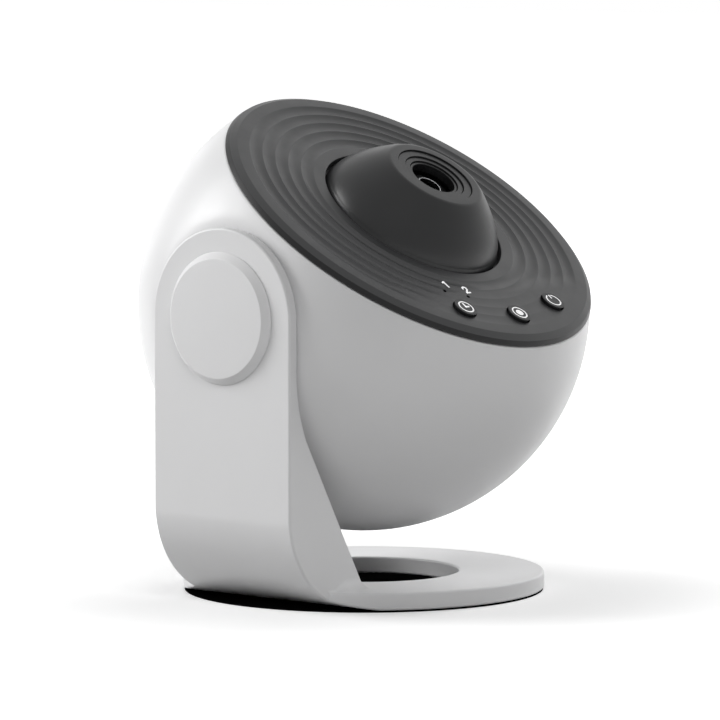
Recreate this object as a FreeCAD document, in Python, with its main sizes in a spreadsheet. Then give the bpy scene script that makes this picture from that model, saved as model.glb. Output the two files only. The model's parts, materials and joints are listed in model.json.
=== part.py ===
"""Planetarium projector: a ball head with a lens unit, tilting on a one-armed stand.

The origin lies on the table under the centre of the ball. +Z is up, the pivot axis runs along Y
with the arm on the -Y side, and the head faces +X. Head pieces are drawn in the head's own frame,
whose z axis is the optical axis and whose x axis runs down the front plate, and are then tilted.
Pivot pieces are drawn about z and laid along the pivot axis, so their z is the distance outwards.
"""
import FreeCAD, Part
import math
import os

import Sketcher
from FreeCAD import Placement, Rotation, Vector

DOCUMENT = FreeCAD.newDocument("planetarium_projector")

SIZES = {
    # stance
    "centre_height": 94.7,
    "lens_elevation": 55.44,
    # fits and clearances
    "running_fit": 0.1,
    "seat_gap": 0.05,
    "moving_gap": 0.3,
    "snap_gap": 0.1,
    # head shell and rear cover
    "ball_radius": 75.0,
    "shell_wall": 2.4,
    "front_cut": 40.8,
    "pivot_cut": 7.4,
    "pivot_wall": 5.0,
    "rear_opening_radius": 34.0,
    "rear_rim": 2.25,
    "rear_ledge_radius": 28.0,
    "rear_ledge_thickness": 2.4,
    "cover_gap": 0.2,
    "vent_width": 2.0,
    "vent_length": 15.0,
    "vent_pitch": 4.5,
    "vent_offset": 10.5,
    "cover_screw_circle": 30.4,
    "cover_screw_web": 1.4,
    # front plate, with heights from its seat on the ball as in all that it carries
    "rim_step": 0.25,
    "plate_top": 3.4,
    "plate_thickness": 2.5,
    "plate_wall_top": 2.5,
    "plate_chamfer": 2.2,
    "rim_reveal": 0.4,
    "rim_reveal_width": 0.7,
    "skirt_gap": 0.44,
    "skirt_thickness": 1.8,
    "skirt_depth": 4.5,
    "hook_reach": 1.1,
    "hook_height": 1.6,
    "hook_span": 12.0,
    "ripple_start": 36.4,
    "ripple_pitch": 4.65,
    "ripple_depth": 0.6,
    "control_turn": -1.3,
    "control_field_span": 70.0,
    # controls
    "button_inset": 12.2,
    "button_spread": 24.3,
    "button_radius": 4.0,
    "button_hole_radius": 4.3,
    "button_proud": 1.0,
    "button_travel": 0.8,
    "button_flange_radius": 5.2,
    "button_flange_thickness": 1.4,
    "button_stem_radius": 1.4,
    "switch_width": 6.0,
    "switch_height": 2.8,
    "switch_bore_radius": 1.7,
    "switch_floor": 0.6,
    "button_board_top": -4.6,
    "board_thickness": 1.6,
    "button_board_inner_edge": 3.35,
    "button_board_outer_gap": 1.5,
    "button_board_span": 80.0,
    "light_inset": 8.45,
    "light_spread": 5.6,
    "light_radius": 0.6,
    "light_chip": 1.6,
    "boss_radius": 3.0,
    "board_screw_inset": 1.3,
    "board_screw_edge": 4.0,
    # lens dome
    "dome_hole_radius": 32.1,
    "dome_radius": 30.6,
    "dome_shoulder_radius": 17.2,
    "dome_shoulder": 18.3,
    "dome_top": 18.8,
    "dome_top_radius": 16.2,
    "dome_bulge": 1.65,
    "dome_wall": 2.0,
    "dome_flange_radius": 33.8,
    "dome_flange_thickness": 1.6,
    "dome_flange_gap": 0.4,
    "step_height": 0.6,
    "outer_step_radius": 13.4,
    "middle_step_radius": 11.0,
    "inner_step_radius": 8.9,
    "aperture_radius": 7.7,
    "dome_roof": 15.4,
    "dome_sleeve_radius": 14.2,
    "dome_sleeve_bottom": -2.2,
    # lens barrel
    "barrel_radius": 12.0,
    "barrel_bottom": -17.2,
    "barrel_top": 13.1,
    "barrel_bore": 7.5,
    "lens_radius": 8.9,
    "lens_seat_radius": 9.0,
    "lens_edge": 2.0,
    "lens_curve_radius": 7.6,
    "lens_crown": 1.6,
    "front_lens_depth": 5.0,
    "rear_lens_depth": 6.0,
    "retainer_bore": 6.4,
    "retainer_lip": 1.1,
    "key_width": 3.0,
    "key_height": 4.0,
    "key_rise": 3.0,
    "key_reach": 14.2,
    "focus_travel": 2.0,
    # lens mount
    "mount_tube_radius": 14.8,
    "mount_tube_bottom": -18.2,
    "mount_deck": -7.2,
    "mount_deck_thickness": 2.0,
    "mount_deck_radius": 38.0,
    "bearing_inner": 29.0,
    "bearing_outer": 36.5,
    "mount_screw_circle": 42.0,
    "ear_radius": 4.5,
    # light housing and star disc
    "drum_radius": 34.0,
    "drum_wall": 2.5,
    "drum_step_wall": 4.0,
    "drum_floor": -31.2,
    "drum_floor_thickness": 1.9,
    "carrier_ledge": -26.3,
    "lug_thickness": 3.0,
    "neck_bore": 17.0,
    "neck_wall": 2.5,
    "neck_bottom": -43.2,
    "neck_flange_radius": 24.0,
    "neck_flange_thickness": 2.0,
    "condenser_seat": -37.2,
    "condenser_ledge_radius": 14.5,
    "condenser_ledge_thickness": 1.5,
    "gear_module": 0.8,
    "carrier_teeth": 70,
    "carrier_addendum": 0.65,
    "pinion_teeth": 14,
    "pinion_addendum": 0.8,
    "gear_dedendum": 1.0,
    "pinion_dedendum": 0.9,
    "tooth_backlash": 0.2,
    "carrier_thickness": 3.9,
    "journal_radius": 24.0,
    "disc_window_radius": 20.0,
    "disc_radius": 22.4,
    "disc_pocket_radius": 22.6,
    "disc_pocket_depth": 1.3,
    "disc_thickness": 0.4,
    "clip_thickness": 0.8,
    "clip_width": 2.0,
    "clip_gap": 6.0,
    "keeper_inner": 25.5,
    "keeper_thickness": 1.2,
    # drive motor
    "gearbox_width": 12.0,
    "gearbox_depth": 10.0,
    "gearbox_length": 9.0,
    "motor_radius": 5.0,
    "motor_length": 15.0,
    "shaft_radius": 1.5,
    "shaft_below": 5.0,
    "motor_screw_spread": 4.5,
    "motor_pad_width": 14.0,
    "motor_pad_reach": 6.4,
    # light engine
    "condenser_radius": 16.8,
    "condenser_edge": 2.0,
    "condenser_crown": 5.0,
    "condenser_ring_width": 1.0,
    "condenser_ring_lift": 0.65,
    "condenser_ring_thickness": 1.2,
    "led_board_radius": 11.0,
    "led_radius": 2.5,
    "led_height": 0.5,
    "led_crown": 0.8,
    "heatsink_base": 3.0,
    "fin_height": 16.0,
    "fin_thickness": 1.2,
    "fin_pitch": 5.0,
    "fin_field_radius": 18.5,
    "heatsink_screw_circle": 21.8,
    # main board
    "main_board_length": 40.0,
    "main_board_width": 32.0,
    "main_board_lift": 0.6,
    "standoff_radius": 2.6,
    "standoff_x": 16.0,
    "standoff_y": 12.0,
    "usb_width": 9.0,
    "usb_depth": 3.3,
    "usb_recess": 0.4,
    "usb_wall": 0.4,
    "usb_mouth_depth": 5.0,
    # pivot
    "hub_flange_radius": 20.0,
    "hub_flange_thickness": 4.0,
    "hub_radius": 11.0,
    "hub_screw_circle": 15.5,
    "friction_inner": 12.0,
    "friction_outer": 20.0,
    "friction_recess": 0.6,
    "wave_outer": 16.5,
    "wave_inner": 11.4,
    "wave_thickness": 0.5,
    "clamp_radius": 16.0,
    "clamp_thickness": 2.0,
    "bolt_radius": 3.0,
    "bolt_head_radius": 5.5,
    "bolt_depth": 9.0,
    "stop_circle": 25.5,
    "stop_radius": 2.0,
    "stop_length": 2.3,
    "tilt_down": 55.0,
    "tilt_up": 55.0,
    "stop_margin": 1.0,
    # stand
    "foot_gap": 0.6,
    "pad_radius": 59.4,
    "ring_radius": 60.1,
    "ring_hole_radius": 31.6,
    "ring_thickness": 5.7,
    "ring_wall": 2.0,
    "ring_roof": 1.8,
    "base_plate_thickness": 1.6,
    "base_screw_circle": 46.0,
    "base_screw_web": 0.5,
    "arm_thickness": 3.9,
    "arm_half_width": 29.1,
    "bend_height": 36.0,
    "bend_reach": 29.8,
    "bend_bulge": 9.6,
    "slope_top_drop": 18.1,
    "slope_mid_drop": 38.7,
    "slope_mid_reach": 5.0,
    "slope_bulge": 1.1,
    "slope_low_height": 5.7,
    "slope_low_reach": 33.3,
    "dish_gap": 1.3,
    "arm_cavity_wall": 2.4,
    "arm_cavity_low": 10.0,
    "arm_cavity_drop": 18.4,
    "arm_cavity_floor": 7.0,
    "arm_cavity_foot": 16.8,
    "arm_cavity_bulge": 4.6,
    "arm_cover_thickness": 2.0,
    "cap_pocket_radius": 18.5,
    "cap_pocket_depth": 1.7,
    "cap_base_radius": 21.9,
    "cap_face_radius": 19.3,
    "cap_height": 2.6,
    "cap_wall": 1.2,
    "cap_bore": 17.3,
    # screws
    "screw_radius": 1.2,
    "screw_head_radius": 2.2,
    "screw_head_height": 1.6,
    "blind_end": 1.0,
}


class Size:
    """A size with its number and the expression that works it out from the sheet."""

    def __init__(self, number, text):
        self.number = number
        self.text = text

    def __add__(self, other):
        return combine(self, "+", other)

    def __radd__(self, other):
        return combine(other, "+", self)

    def __sub__(self, other):
        return combine(self, "-", other)

    def __rsub__(self, other):
        return combine(other, "-", self)

    def __mul__(self, other):
        return combine(self, "*", other)

    def __rmul__(self, other):
        return combine(other, "*", self)

    def __truediv__(self, other):
        return combine(self, "/", other)

    def __rtruediv__(self, other):
        return combine(other, "/", self)

    def __neg__(self):
        return combine(0.0, "-", self)


def as_size(value):
    """Turn a plain number into a Size, and leave a Size as it is."""
    if isinstance(value, Size):
        return value
    return Size(float(value), repr(float(value)))


def combine(first, sign, second):
    """Join two sizes by an arithmetic sign, both as numbers and as an expression."""
    first = as_size(first)
    second = as_size(second)
    results = {
        "+": first.number + second.number,
        "-": first.number - second.number,
        "*": first.number * second.number,
    }
    number = first.number / second.number if sign == "/" else results[sign]
    return Size(number, f"({first.text} {sign} {second.text})")


def root_of_difference(hypotenuse, side):
    """The other short side of a right-angled triangle, such as a sphere's radius at a height."""
    hypotenuse = as_size(hypotenuse)
    side = as_size(side)
    number = math.sqrt(hypotenuse.number ** 2 - side.number ** 2)
    return Size(number, f"sqrt(({hypotenuse.text}) ^ 2 - ({side.text}) ^ 2)")


class Sheet:
    """The spreadsheet of driving sizes, read as attributes such as sheet.ball_radius."""

    def __init__(self, sizes):
        self.cells = DOCUMENT.addObject("Spreadsheet::Sheet", "Sizes")
        for row, (name, value) in enumerate(sizes.items(), start=1):
            self.cells.set(f"A{row}", name)
            self.cells.set(f"B{row}", str(value))
            self.cells.setAlias(f"B{row}", name)
            setattr(self, name, Size(float(value), f"Sizes.{name}"))
        DOCUMENT.recompute()


sheet = Sheet(SIZES)
SUB_PARTS = []


# ---------------------------------------------------------------- drawing helpers

def bind(item, field, value):
    """Bind one field of a document object to a size."""
    item.setExpression(field, as_size(value).text)


def move(item, x=0.0, y=0.0, z=0.0):
    """Bind a document object's position."""
    bind(item, "Placement.Base.x", x)
    bind(item, "Placement.Base.y", y)
    bind(item, "Placement.Base.z", z)
    return item


def origin_plane(body, role):
    """The origin plane of a body that has the given role."""
    return next(plane for plane in body.Origin.OriginFeatures if plane.Role == role)


def outline_sketch(body, role, corners, bulges=None):
    """Draw a closed outline on a body's origin plane, with every corner bound to the sheet.

    A bulge turns the edge after its corner into an arc that rises by that much to the right.
    """
    bulges = bulges or {}
    sketch = body.newObject("Sketcher::SketchObject", "outline")
    sketch.AttachmentSupport = [(origin_plane(body, role), "")]
    sketch.MapMode = "FlatFace"
    corners = [(as_size(across), as_size(along)) for across, along in corners]
    points = [Vector(across.number, along.number, 0) for across, along in corners]
    ends = []
    for index, point in enumerate(points):
        following = points[(index + 1) % len(points)]
        rise = as_size(bulges.get(index, 0.0)).number
        chord = following - point
        middle = (point + following) * 0.5 + Vector(chord.y, -chord.x, 0).normalize() * rise
        ends.append((2, 1) if rise < 0 else (1, 2))
        if rise < 0:
            sketch.addGeometry(Part.Arc(following, middle, point), False)
        elif rise > 0:
            sketch.addGeometry(Part.Arc(point, middle, following), False)
        else:
            sketch.addGeometry(Part.LineSegment(point, following), False)
    for index in range(len(points)):
        following = (index + 1) % len(points)
        sketch.addConstraint(Sketcher.Constraint("Coincident", index, ends[index][1],
                                                 following, ends[following][0]))
    for index, (across, along) in enumerate(corners):
        for kind, size in (("DistanceX", across), ("DistanceY", along)):
            number = sketch.addConstraint(Sketcher.Constraint(kind, -1, 1, index, ends[index][0],
                                                              size.number))
            sketch.setExpression(f"Constraints[{number}]", size.text)
    for index, rise in bulges.items():
        following = (index + 1) % len(points)
        half_chord = half_distance(corners[index], corners[following])
        radius = (half_chord * half_chord + as_size(rise) * rise) / (2 * as_size(rise))
        radius = Size(abs(radius.number), f"abs({radius.text})")
        number = sketch.addConstraint(Sketcher.Constraint("Radius", index, radius.number))
        sketch.setExpression(f"Constraints[{number}]", radius.text)
    return sketch


def half_distance(start, end):
    """Half the distance between two corners, as a size."""
    across = end[0] - start[0]
    along = end[1] - start[1]
    number = math.hypot(across.number, along.number) / 2
    return Size(number, f"(sqrt(({across.text}) ^ 2 + ({along.text}) ^ 2) / 2)")


def turned(corners, bulges=None, angle=360.0):
    """A body turned about z from (radius, height) corners."""
    body = DOCUMENT.addObject("PartDesign::Body", "turned")
    sketch = outline_sketch(body, "XZ_Plane", corners, bulges)
    revolution = body.newObject("PartDesign::Revolution", "turning")
    revolution.Profile = sketch
    revolution.ReferenceAxis = (sketch, ["V_Axis"])
    bind(revolution, "Angle", angle)
    return body


def drawn(role, corners, length, bulges=None):
    """A body padded to both sides of an origin plane from an outline."""
    body = DOCUMENT.addObject("PartDesign::Body", "drawn")
    pad = body.newObject("PartDesign::Pad", "pad")
    pad.Profile = outline_sketch(body, role, corners, bulges)
    bind(pad, "Length", length)
    pad.Midplane = True
    return body


def rod(radius, length, x=0.0, y=0.0, z=0.0, outwards=False):
    """A cylinder standing along z, or lying along the pivot axis towards -Y."""
    item = DOCUMENT.addObject("Part::Cylinder", "rod")
    bind(item, "Radius", radius)
    bind(item, "Height", length)
    if outwards:
        item.Placement = Placement(Vector(), Rotation(Vector(1, 0, 0), 90))
    return move(item, x, y, z)


def block(length, width, height, x=0.0, y=0.0, z=0.0):
    """A box centred on x and y that stands on z."""
    item = DOCUMENT.addObject("Part::Box", "block")
    bind(item, "Length", length)
    bind(item, "Width", width)
    bind(item, "Height", height)
    return move(item, x - as_size(length) / 2, y - as_size(width) / 2, z)


def ball(radius):
    """A sphere about the origin."""
    item = DOCUMENT.addObject("Part::Sphere", "ball")
    bind(item, "Radius", radius)
    return item


def joined(pieces):
    """The union of several solids, or a group of separate solids where they don't touch."""
    item = DOCUMENT.addObject("Part::MultiFuse", "joined")
    item.Shapes = pieces
    return item


def shared(first, second):
    """What two solids have in common."""
    item = DOCUMENT.addObject("Part::Common", "shared")
    item.Base = first
    item.Tool = second
    return item


def without(base, tools):
    """A solid with tools cut away."""
    item = DOCUMENT.addObject("Part::Cut", "cut")
    item.Base = base
    item.Tool = tools[0] if len(tools) == 1 else joined(tools)
    return item


def turn_about_axis(item, degrees):
    """Turn a solid, or a copy of it, about z by an angle."""
    wrapper = DOCUMENT.addObject("Part::Compound", "turned_about_z")
    wrapper.Links = [item]
    wrapper.Placement = Placement(Vector(), Rotation(Vector(0, 0, 1), 1))
    bind(wrapper, "Placement.Rotation.Angle", degrees)
    return wrapper


def around(make, angles):
    """One piece, made anew by a function, at each of several angles about z."""
    return [turn_about_axis(make(), angle) for angle in angles]


def even_angles(count, start=0.0):
    """Evenly spaced angles about z."""
    return [start + 360.0 * step / count for step in range(count)]


def laid_outwards(item):
    """Lay a solid drawn about z along the pivot axis, with its z pointing to -Y."""
    wrapper = DOCUMENT.addObject("Part::Compound", "laid_outwards")
    wrapper.Links = [item]
    wrapper.Placement = Placement(Vector(), Rotation(Vector(1, 0, 0), 90))
    return wrapper


def box_between(x_range, y_range, z_range):
    """A box given by its lower and upper x, y and z."""
    item = DOCUMENT.addObject("Part::Box", "box")
    for field, (low, high) in zip(("Length", "Width", "Height"), (x_range, y_range, z_range)):
        bind(item, field, as_size(high) - low)
    return move(item, x_range[0], y_range[0], z_range[0])


def ring(outer, inner, length, z):
    """A plain ring about z."""
    over = 1.0
    hole = rod(inner, as_size(length) + 2 * over, z=as_size(z) - over)
    return without(rod(outer, length, z=z), [hole])


def placed_alone(item):
    """Wrap a primitive or a turned copy, so that the sub-part has a placement of its own."""
    wrapper = DOCUMENT.addObject("Part::Compound", "placed")
    wrapper.Links = [item]
    return wrapper


def sub_part(name, item, frame="stand"):
    """Name a finished sub-part and set it in its frame: stand, pivot, head or the plate's seat."""
    if item.TypeId in ("Part::Compound", "Part::Cylinder"):
        item = placed_alone(item)
    item.Label = name
    if frame in ("head", "seat"):
        item.Placement = Placement(Vector(), Rotation(Vector(0, 1, 0), 1))
        bind(item, "Placement.Rotation.Angle", 90.0 - sheet.lens_elevation)
        bind(item, "Placement.Base.z", sheet.centre_height)
    if frame == "seat":
        out = plate_seat.text
        elevation = f"{sheet.lens_elevation.text} * 1deg"
        item.setExpression("Placement.Base.x", f"{out} * cos({elevation})")
        item.setExpression("Placement.Base.z",
                           f"{sheet.centre_height.text} + {out} * sin({elevation})")
    elif frame == "pivot":
        item.Placement = Placement(Vector(), Rotation(Vector(1, 0, 0), 90))
        bind(item, "Placement.Base.z", sheet.centre_height)
    SUB_PARTS.append(item)
    return item


def screw(tip, seat, x=0.0, y=0.0):
    """A pan-head screw along z: its head lies under the seat and its tip above."""
    s = sheet
    head = rod(s.screw_head_radius, s.screw_head_height, x, y, as_size(seat) - s.screw_head_height)
    return joined([head, rod(s.screw_radius, as_size(tip) - seat, x, y, seat)])


def screws_around(name, circle, angles, tip, seat, frame="seat"):
    """A set of equal screws on a circle, along the optical axis."""
    return sub_part(name, joined(around(lambda: screw(tip, seat, x=circle), angles)), frame)


# ---------------------------------------------------------------- sizes that follow from others

s = sheet
MOUNT_ANGLES = [60.0, 120.0, 240.0, 300.0]
HUB_SCREW_ANGLES = even_angles(3, 90.0)
COVER_SCREW_ANGLES = even_angles(3, 90.0)
HEATSINK_SCREW_ANGLES = even_angles(3, 90.0)
KEY_ANGLES = even_angles(3)
BASE_SCREW_ANGLES = [-20.0, 60.0, 120.0, 200.0]
BUTTON_TURNS = {"timer": -1.0, "mode": 0.0, "power": 1.0}

over = 1.0
plate_seat = s.ball_radius - s.front_cut
plate_radius = root_of_difference(s.ball_radius, plate_seat) - s.rim_step
skirt_radius = root_of_difference(s.ball_radius - s.shell_wall, plate_seat) - s.skirt_gap
button_circle = plate_radius - s.button_inset
light_circle = button_circle - s.light_inset
board_screw_circle = button_circle - s.board_screw_inset
button_board_inner = light_circle - s.button_board_inner_edge
button_board_outer = skirt_radius - s.skirt_thickness - s.button_board_outer_gap
pivot_flat = s.ball_radius - s.pivot_cut
arm_inner = pivot_flat + s.moving_gap
arm_outer = arm_inner + s.arm_thickness
rear_ledge = root_of_difference(s.ball_radius, s.rear_opening_radius) - s.rear_rim
main_board_top = -rear_ledge + s.main_board_lift
plate_underside = s.plate_top - s.plate_thickness
dome_flange_top = plate_underside - s.dome_flange_gap
dome_flange_bottom = dome_flange_top - s.dome_flange_thickness
bearing_face = dome_flange_bottom - s.running_fit
sleeve_bore = s.barrel_radius + s.running_fit
carrier_bottom = s.carrier_ledge + s.running_fit
carrier_top = carrier_bottom + s.carrier_thickness
keeper_seat = carrier_top + s.moving_gap
disc_pocket = carrier_top - s.disc_pocket_depth
carrier_pitch_radius = s.gear_module * s.carrier_teeth / 2
pinion_pitch_radius = s.gear_module * s.pinion_teeth / 2
shaft_distance = carrier_pitch_radius + pinion_pitch_radius
lug_bottom = s.mount_deck - s.lug_thickness
led_face = s.neck_bottom + s.board_thickness
hub_face = pivot_flat - s.pivot_wall
hub_end = arm_outer - s.cap_pocket_depth + s.wave_thickness + s.seat_gap
button_flange_top = plate_underside - s.moving_gap
button_flange_bottom = button_flange_top - s.button_flange_thickness
switch_top = s.button_board_top + s.switch_height
ring_top = s.foot_gap + s.ring_thickness
pocket_roof = ring_top - s.ring_roof
pocket_inner = s.ring_hole_radius + s.ring_wall
pocket_outer = s.ring_radius - s.ring_wall
bend_foot = arm_outer - s.bend_reach
slope_mid_height = s.centre_height - s.foot_gap - s.slope_mid_drop
arm_cavity_top = slope_mid_height - s.arm_cavity_drop
slope_mid = arm_inner - s.slope_mid_reach
slope_low = arm_inner - s.slope_low_reach


# ---------------------------------------------------------------- head shell and rear cover

def stop_groove():
    """The curved groove in the pivot flat that the arm's stop peg runs in."""
    reach = s.stop_radius + s.moving_gap
    depth = s.stop_length + s.moving_gap
    floor = pivot_flat - depth
    swing = s.tilt_down + s.tilt_up + 2 * s.stop_margin
    start = -s.lens_elevation - s.tilt_down - s.stop_margin
    sector = rod(s.stop_circle + reach, depth + over, z=floor)
    bind(sector, "Angle", swing)
    sector = without(sector, [rod(s.stop_circle - reach, depth + 3 * over, z=floor - over)])
    ends = [rod(reach, depth + over, x=s.stop_circle, z=floor)]
    ends.append(turn_about_axis(rod(reach, depth + over, x=s.stop_circle, z=floor), swing))
    return laid_outwards(turn_about_axis(joined([sector] + ends), start))


def head_shell():
    """The white ball: open at the front for the plate and at the back for the rear cover."""
    radius = s.ball_radius
    inner = radius - s.shell_wall
    outside = shared(ball(radius),
                     box_between((-radius, radius), (-pivot_flat, radius), (-radius, plate_seat)))
    pad_top = plate_seat + plate_underside - s.skirt_depth - s.moving_gap
    inside = shared(ball(inner), joined([
        box_between((-radius, radius), (-hub_face, radius), (-radius, plate_seat + over)),
        box_between((-radius, radius), (-radius, 0.0), (pad_top, plate_seat + over)),
    ]))
    ledge = ring(radius, s.rear_ledge_radius, s.rear_ledge_thickness, -rear_ledge)
    opening = rod(s.rear_opening_radius, radius, z=-rear_ledge - radius)
    hub_hole = rod(s.hub_radius + s.seat_gap, radius, outwards=True)
    depth = s.pivot_wall - s.blind_end
    pilots = around(lambda: rod(s.screw_radius, depth, x=s.hub_screw_circle, z=hub_face - over),
                    HUB_SCREW_ANGLES)
    cover_pilots = around(lambda: rod(s.screw_radius, radius / 4, x=s.cover_screw_circle,
                                      z=-rear_ledge - over), COVER_SCREW_ANGLES)
    tools = [without(inside, [ledge]), opening, hub_hole, stop_groove()]
    tools += [laid_outwards(pilot) for pilot in pilots] + cover_pilots
    return sub_part("head_shell", without(outside, tools), "head")


def rear_cover():
    """The cap at the back of the ball with its vents, inlet slot and board posts."""
    radius = s.ball_radius
    rim = s.rear_opening_radius - s.cover_gap
    cap = shared(ball(radius), rod(rim, radius, z=-rear_ledge - radius))
    hollow = shared(ball(radius - s.shell_wall),
                    rod(s.rear_ledge_radius - s.cover_gap, radius, z=-rear_ledge - radius + over))
    slot_width = s.usb_width + 2 * s.cover_gap
    slot_depth = s.usb_depth + 2 * s.cover_gap
    tools = [hollow, block(slot_width, slot_depth, radius, z=-radius - over)]
    for side in (-1.0, 1.0):
        for step in range(3):
            y = side * (s.vent_offset + s.vent_pitch * step)
            tools.append(block(s.vent_length, s.vent_width, radius / 2, y=y, z=-radius - over))
    seat = -rear_ledge - s.cover_screw_web
    head_room = radius + over + seat
    clear = s.screw_radius + s.running_fit
    tools += around(lambda: rod(clear, radius / 4, x=s.cover_screw_circle, z=-radius),
                    COVER_SCREW_ANGLES)
    tools += around(lambda: rod(s.screw_head_radius + s.cover_gap, head_room,
                                x=s.cover_screw_circle, z=seat - head_room), COVER_SCREW_ANGLES)
    shell = without(cap, tools)
    post_top = main_board_top - s.board_thickness
    posts = []
    for x in (-s.standoff_x, s.standoff_x):
        for y in (-s.standoff_y, s.standoff_y):
            post = rod(s.standoff_radius, radius / 4, x, y, post_top - radius / 4)
            pilot = rod(s.screw_radius, s.lug_thickness, x, y, post_top + over - s.lug_thickness)
            posts.append(without(shared(post, ball(radius - over)), [pilot]))
    sub_part("rear_cover", joined([shell] + posts), "head")
    screws_around("rear_cover_screws", s.cover_screw_circle, COVER_SCREW_ANGLES,
                  -rear_ledge + s.rear_ledge_thickness - s.cover_gap, seat, "head")


def main_board():
    """The controller board on the rear cover's posts, with its inlet and screws."""
    bottom = main_board_top - s.board_thickness
    posts = [(x, y) for x in (-s.standoff_x, s.standoff_x) for y in (-s.standoff_y, s.standoff_y)]
    board = block(s.main_board_length, s.main_board_width, s.board_thickness, z=bottom)
    clear = s.screw_radius + s.running_fit
    holes = [rod(clear, s.board_thickness + 2 * over, x, y, bottom - over) for x, y in posts]
    sub_part("main_board", without(board, holes), "head")
    screws = []
    for x, y in posts:
        head = rod(s.screw_head_radius, s.screw_head_height, x, y, main_board_top)
        shank_length = s.board_thickness + s.lug_thickness - over - s.cover_gap
        shank = rod(s.screw_radius, shank_length, x, y, main_board_top - shank_length)
        screws.append(joined([head, shank]))
    sub_part("main_board_screws", joined(screws), "head")
    tip = -root_of_difference(s.ball_radius, s.usb_width / 2) + s.usb_recess
    socket = block(s.usb_width, s.usb_depth, bottom - tip, z=tip)
    mouth = block(s.usb_width - 2 * s.usb_wall, s.usb_depth - 2 * s.usb_wall,
                  s.usb_mouth_depth + over, z=tip - over)
    sub_part("usb_socket", without(socket, [mouth]), "head")


# ---------------------------------------------------------------- front plate and controls

def control_angle(name):
    """The angle about the optical axis of a button."""
    return s.control_turn + BUTTON_TURNS[name] * s.button_spread


def light_angles():
    """The angles of the two timer lights, one to each side of the timer button."""
    return [control_angle("timer") + side * s.light_spread for side in (-1.0, 1.0)]


def ripple_grooves():
    """The rings of shallow scallops, left out where the controls are."""
    count = 5
    corners = [(s.ripple_start + s.ripple_pitch * step, s.plate_top) for step in range(count + 1)]
    bulges = {step: s.ripple_depth for step in range(count)}
    corners.append((corners[-1][0], s.plate_top + over))
    corners.append((s.ripple_start, s.plate_top + over))
    grooves = turned(corners, bulges, 360.0 - s.control_field_span)
    return turn_about_axis(grooves, s.control_turn + s.control_field_span / 2)


def front_plate():
    """The dark round plate that snaps into the front of the ball."""
    top = s.plate_top
    seat = 0.0
    skirt_bottom = plate_underside - s.skirt_depth
    corners = [
        (s.dome_hole_radius, plate_underside),
        (skirt_radius - s.skirt_thickness, plate_underside),
        (skirt_radius - s.skirt_thickness, skirt_bottom),
        (skirt_radius, skirt_bottom),
        (skirt_radius, seat),
        (plate_radius - s.rim_reveal_width, seat),
        (plate_radius - s.rim_reveal_width, seat + s.rim_reveal),
        (plate_radius, seat + s.rim_reveal),
        (plate_radius, s.plate_wall_top),
        (plate_radius - s.plate_chamfer, top),
        (s.dome_hole_radius, top),
    ]
    holes = [ripple_grooves()]
    for name in BUTTON_TURNS:
        hole = rod(s.button_hole_radius, 2 * s.plate_thickness, x=button_circle,
                   z=plate_underside - over)
        holes.append(turn_about_axis(hole, control_angle(name)))
    for angle in light_angles():
        hole = rod(s.light_radius + s.seat_gap, 2 * s.plate_thickness, x=light_circle,
                   z=plate_underside - over)
        holes.append(turn_about_axis(hole, angle))
    plate = without(turned(corners), holes)
    deck_top = s.mount_deck + s.mount_deck_thickness
    bosses = around(lambda: pilot_boss(s.mount_screw_circle, deck_top), MOUNT_ANGLES)
    board_bosses = around(lambda: pilot_boss(board_screw_circle, s.button_board_top),
                          board_screw_angles())
    hooks = around(snap_hook, even_angles(4, 45.0))
    sub_part("front_plate", joined([plate] + bosses + board_bosses + hooks), "seat")


def pilot_boss(circle, bottom):
    """A boss under the plate with a blind pilot hole."""
    boss = rod(s.boss_radius, plate_underside - bottom + over / 2, x=circle, z=bottom)
    pilot = rod(s.screw_radius, plate_underside - bottom, x=circle, z=bottom - over / 2)
    return without(boss, [pilot])


def snap_hook():
    """A hook on the plate's skirt that catches behind the rim of the ball."""
    bottom = plate_underside - s.skirt_depth
    hook = ring(skirt_radius + s.hook_reach, skirt_radius - s.skirt_thickness / 2,
                s.hook_height, bottom)
    return shared(hook, block(skirt_radius / 2, s.hook_span, 2 * s.skirt_depth,
                              x=skirt_radius, z=bottom - over))


def board_screw_angles():
    """The angles of the button board's two screws."""
    spread = s.button_board_span / 2 - s.board_screw_edge
    return [s.control_turn + side * spread for side in (-1.0, 1.0)]


def button_board():
    """The curved board behind the controls, with its switches, light chips and screws."""
    bottom = s.button_board_top - s.board_thickness
    sector = rod(button_board_outer, s.board_thickness, z=bottom)
    bind(sector, "Angle", s.button_board_span)
    sector = without(sector, [rod(button_board_inner, 3 * s.board_thickness, z=bottom - over)])
    sector = turn_about_axis(sector, s.control_turn - s.button_board_span / 2)
    clear = s.screw_radius + s.running_fit
    holes = around(lambda: rod(clear, 3 * s.board_thickness, x=board_screw_circle,
                               z=bottom - over), board_screw_angles())
    sub_part("button_board", without(sector, holes), "seat")
    tip = plate_underside - s.blind_end
    screws_around("button_board_screws", board_screw_circle, board_screw_angles(),
                  tip, bottom)
    angles = [control_angle(name) for name in BUTTON_TURNS]
    sub_part("tact_switches", joined(around(tact_switch, angles)), "seat")
    chips = around(lambda: block(s.light_chip, s.light_chip, s.light_chip / 2, x=light_circle,
                                 z=s.button_board_top), light_angles())
    sub_part("timer_leds", joined(chips), "seat")
    pipe_bottom = s.button_board_top + s.light_chip / 2 + s.seat_gap
    pipes = around(lambda: rod(s.light_radius, s.plate_top - pipe_bottom, x=light_circle,
                               z=pipe_bottom), light_angles())
    sub_part("light_pipes", joined(pipes), "seat")


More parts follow.
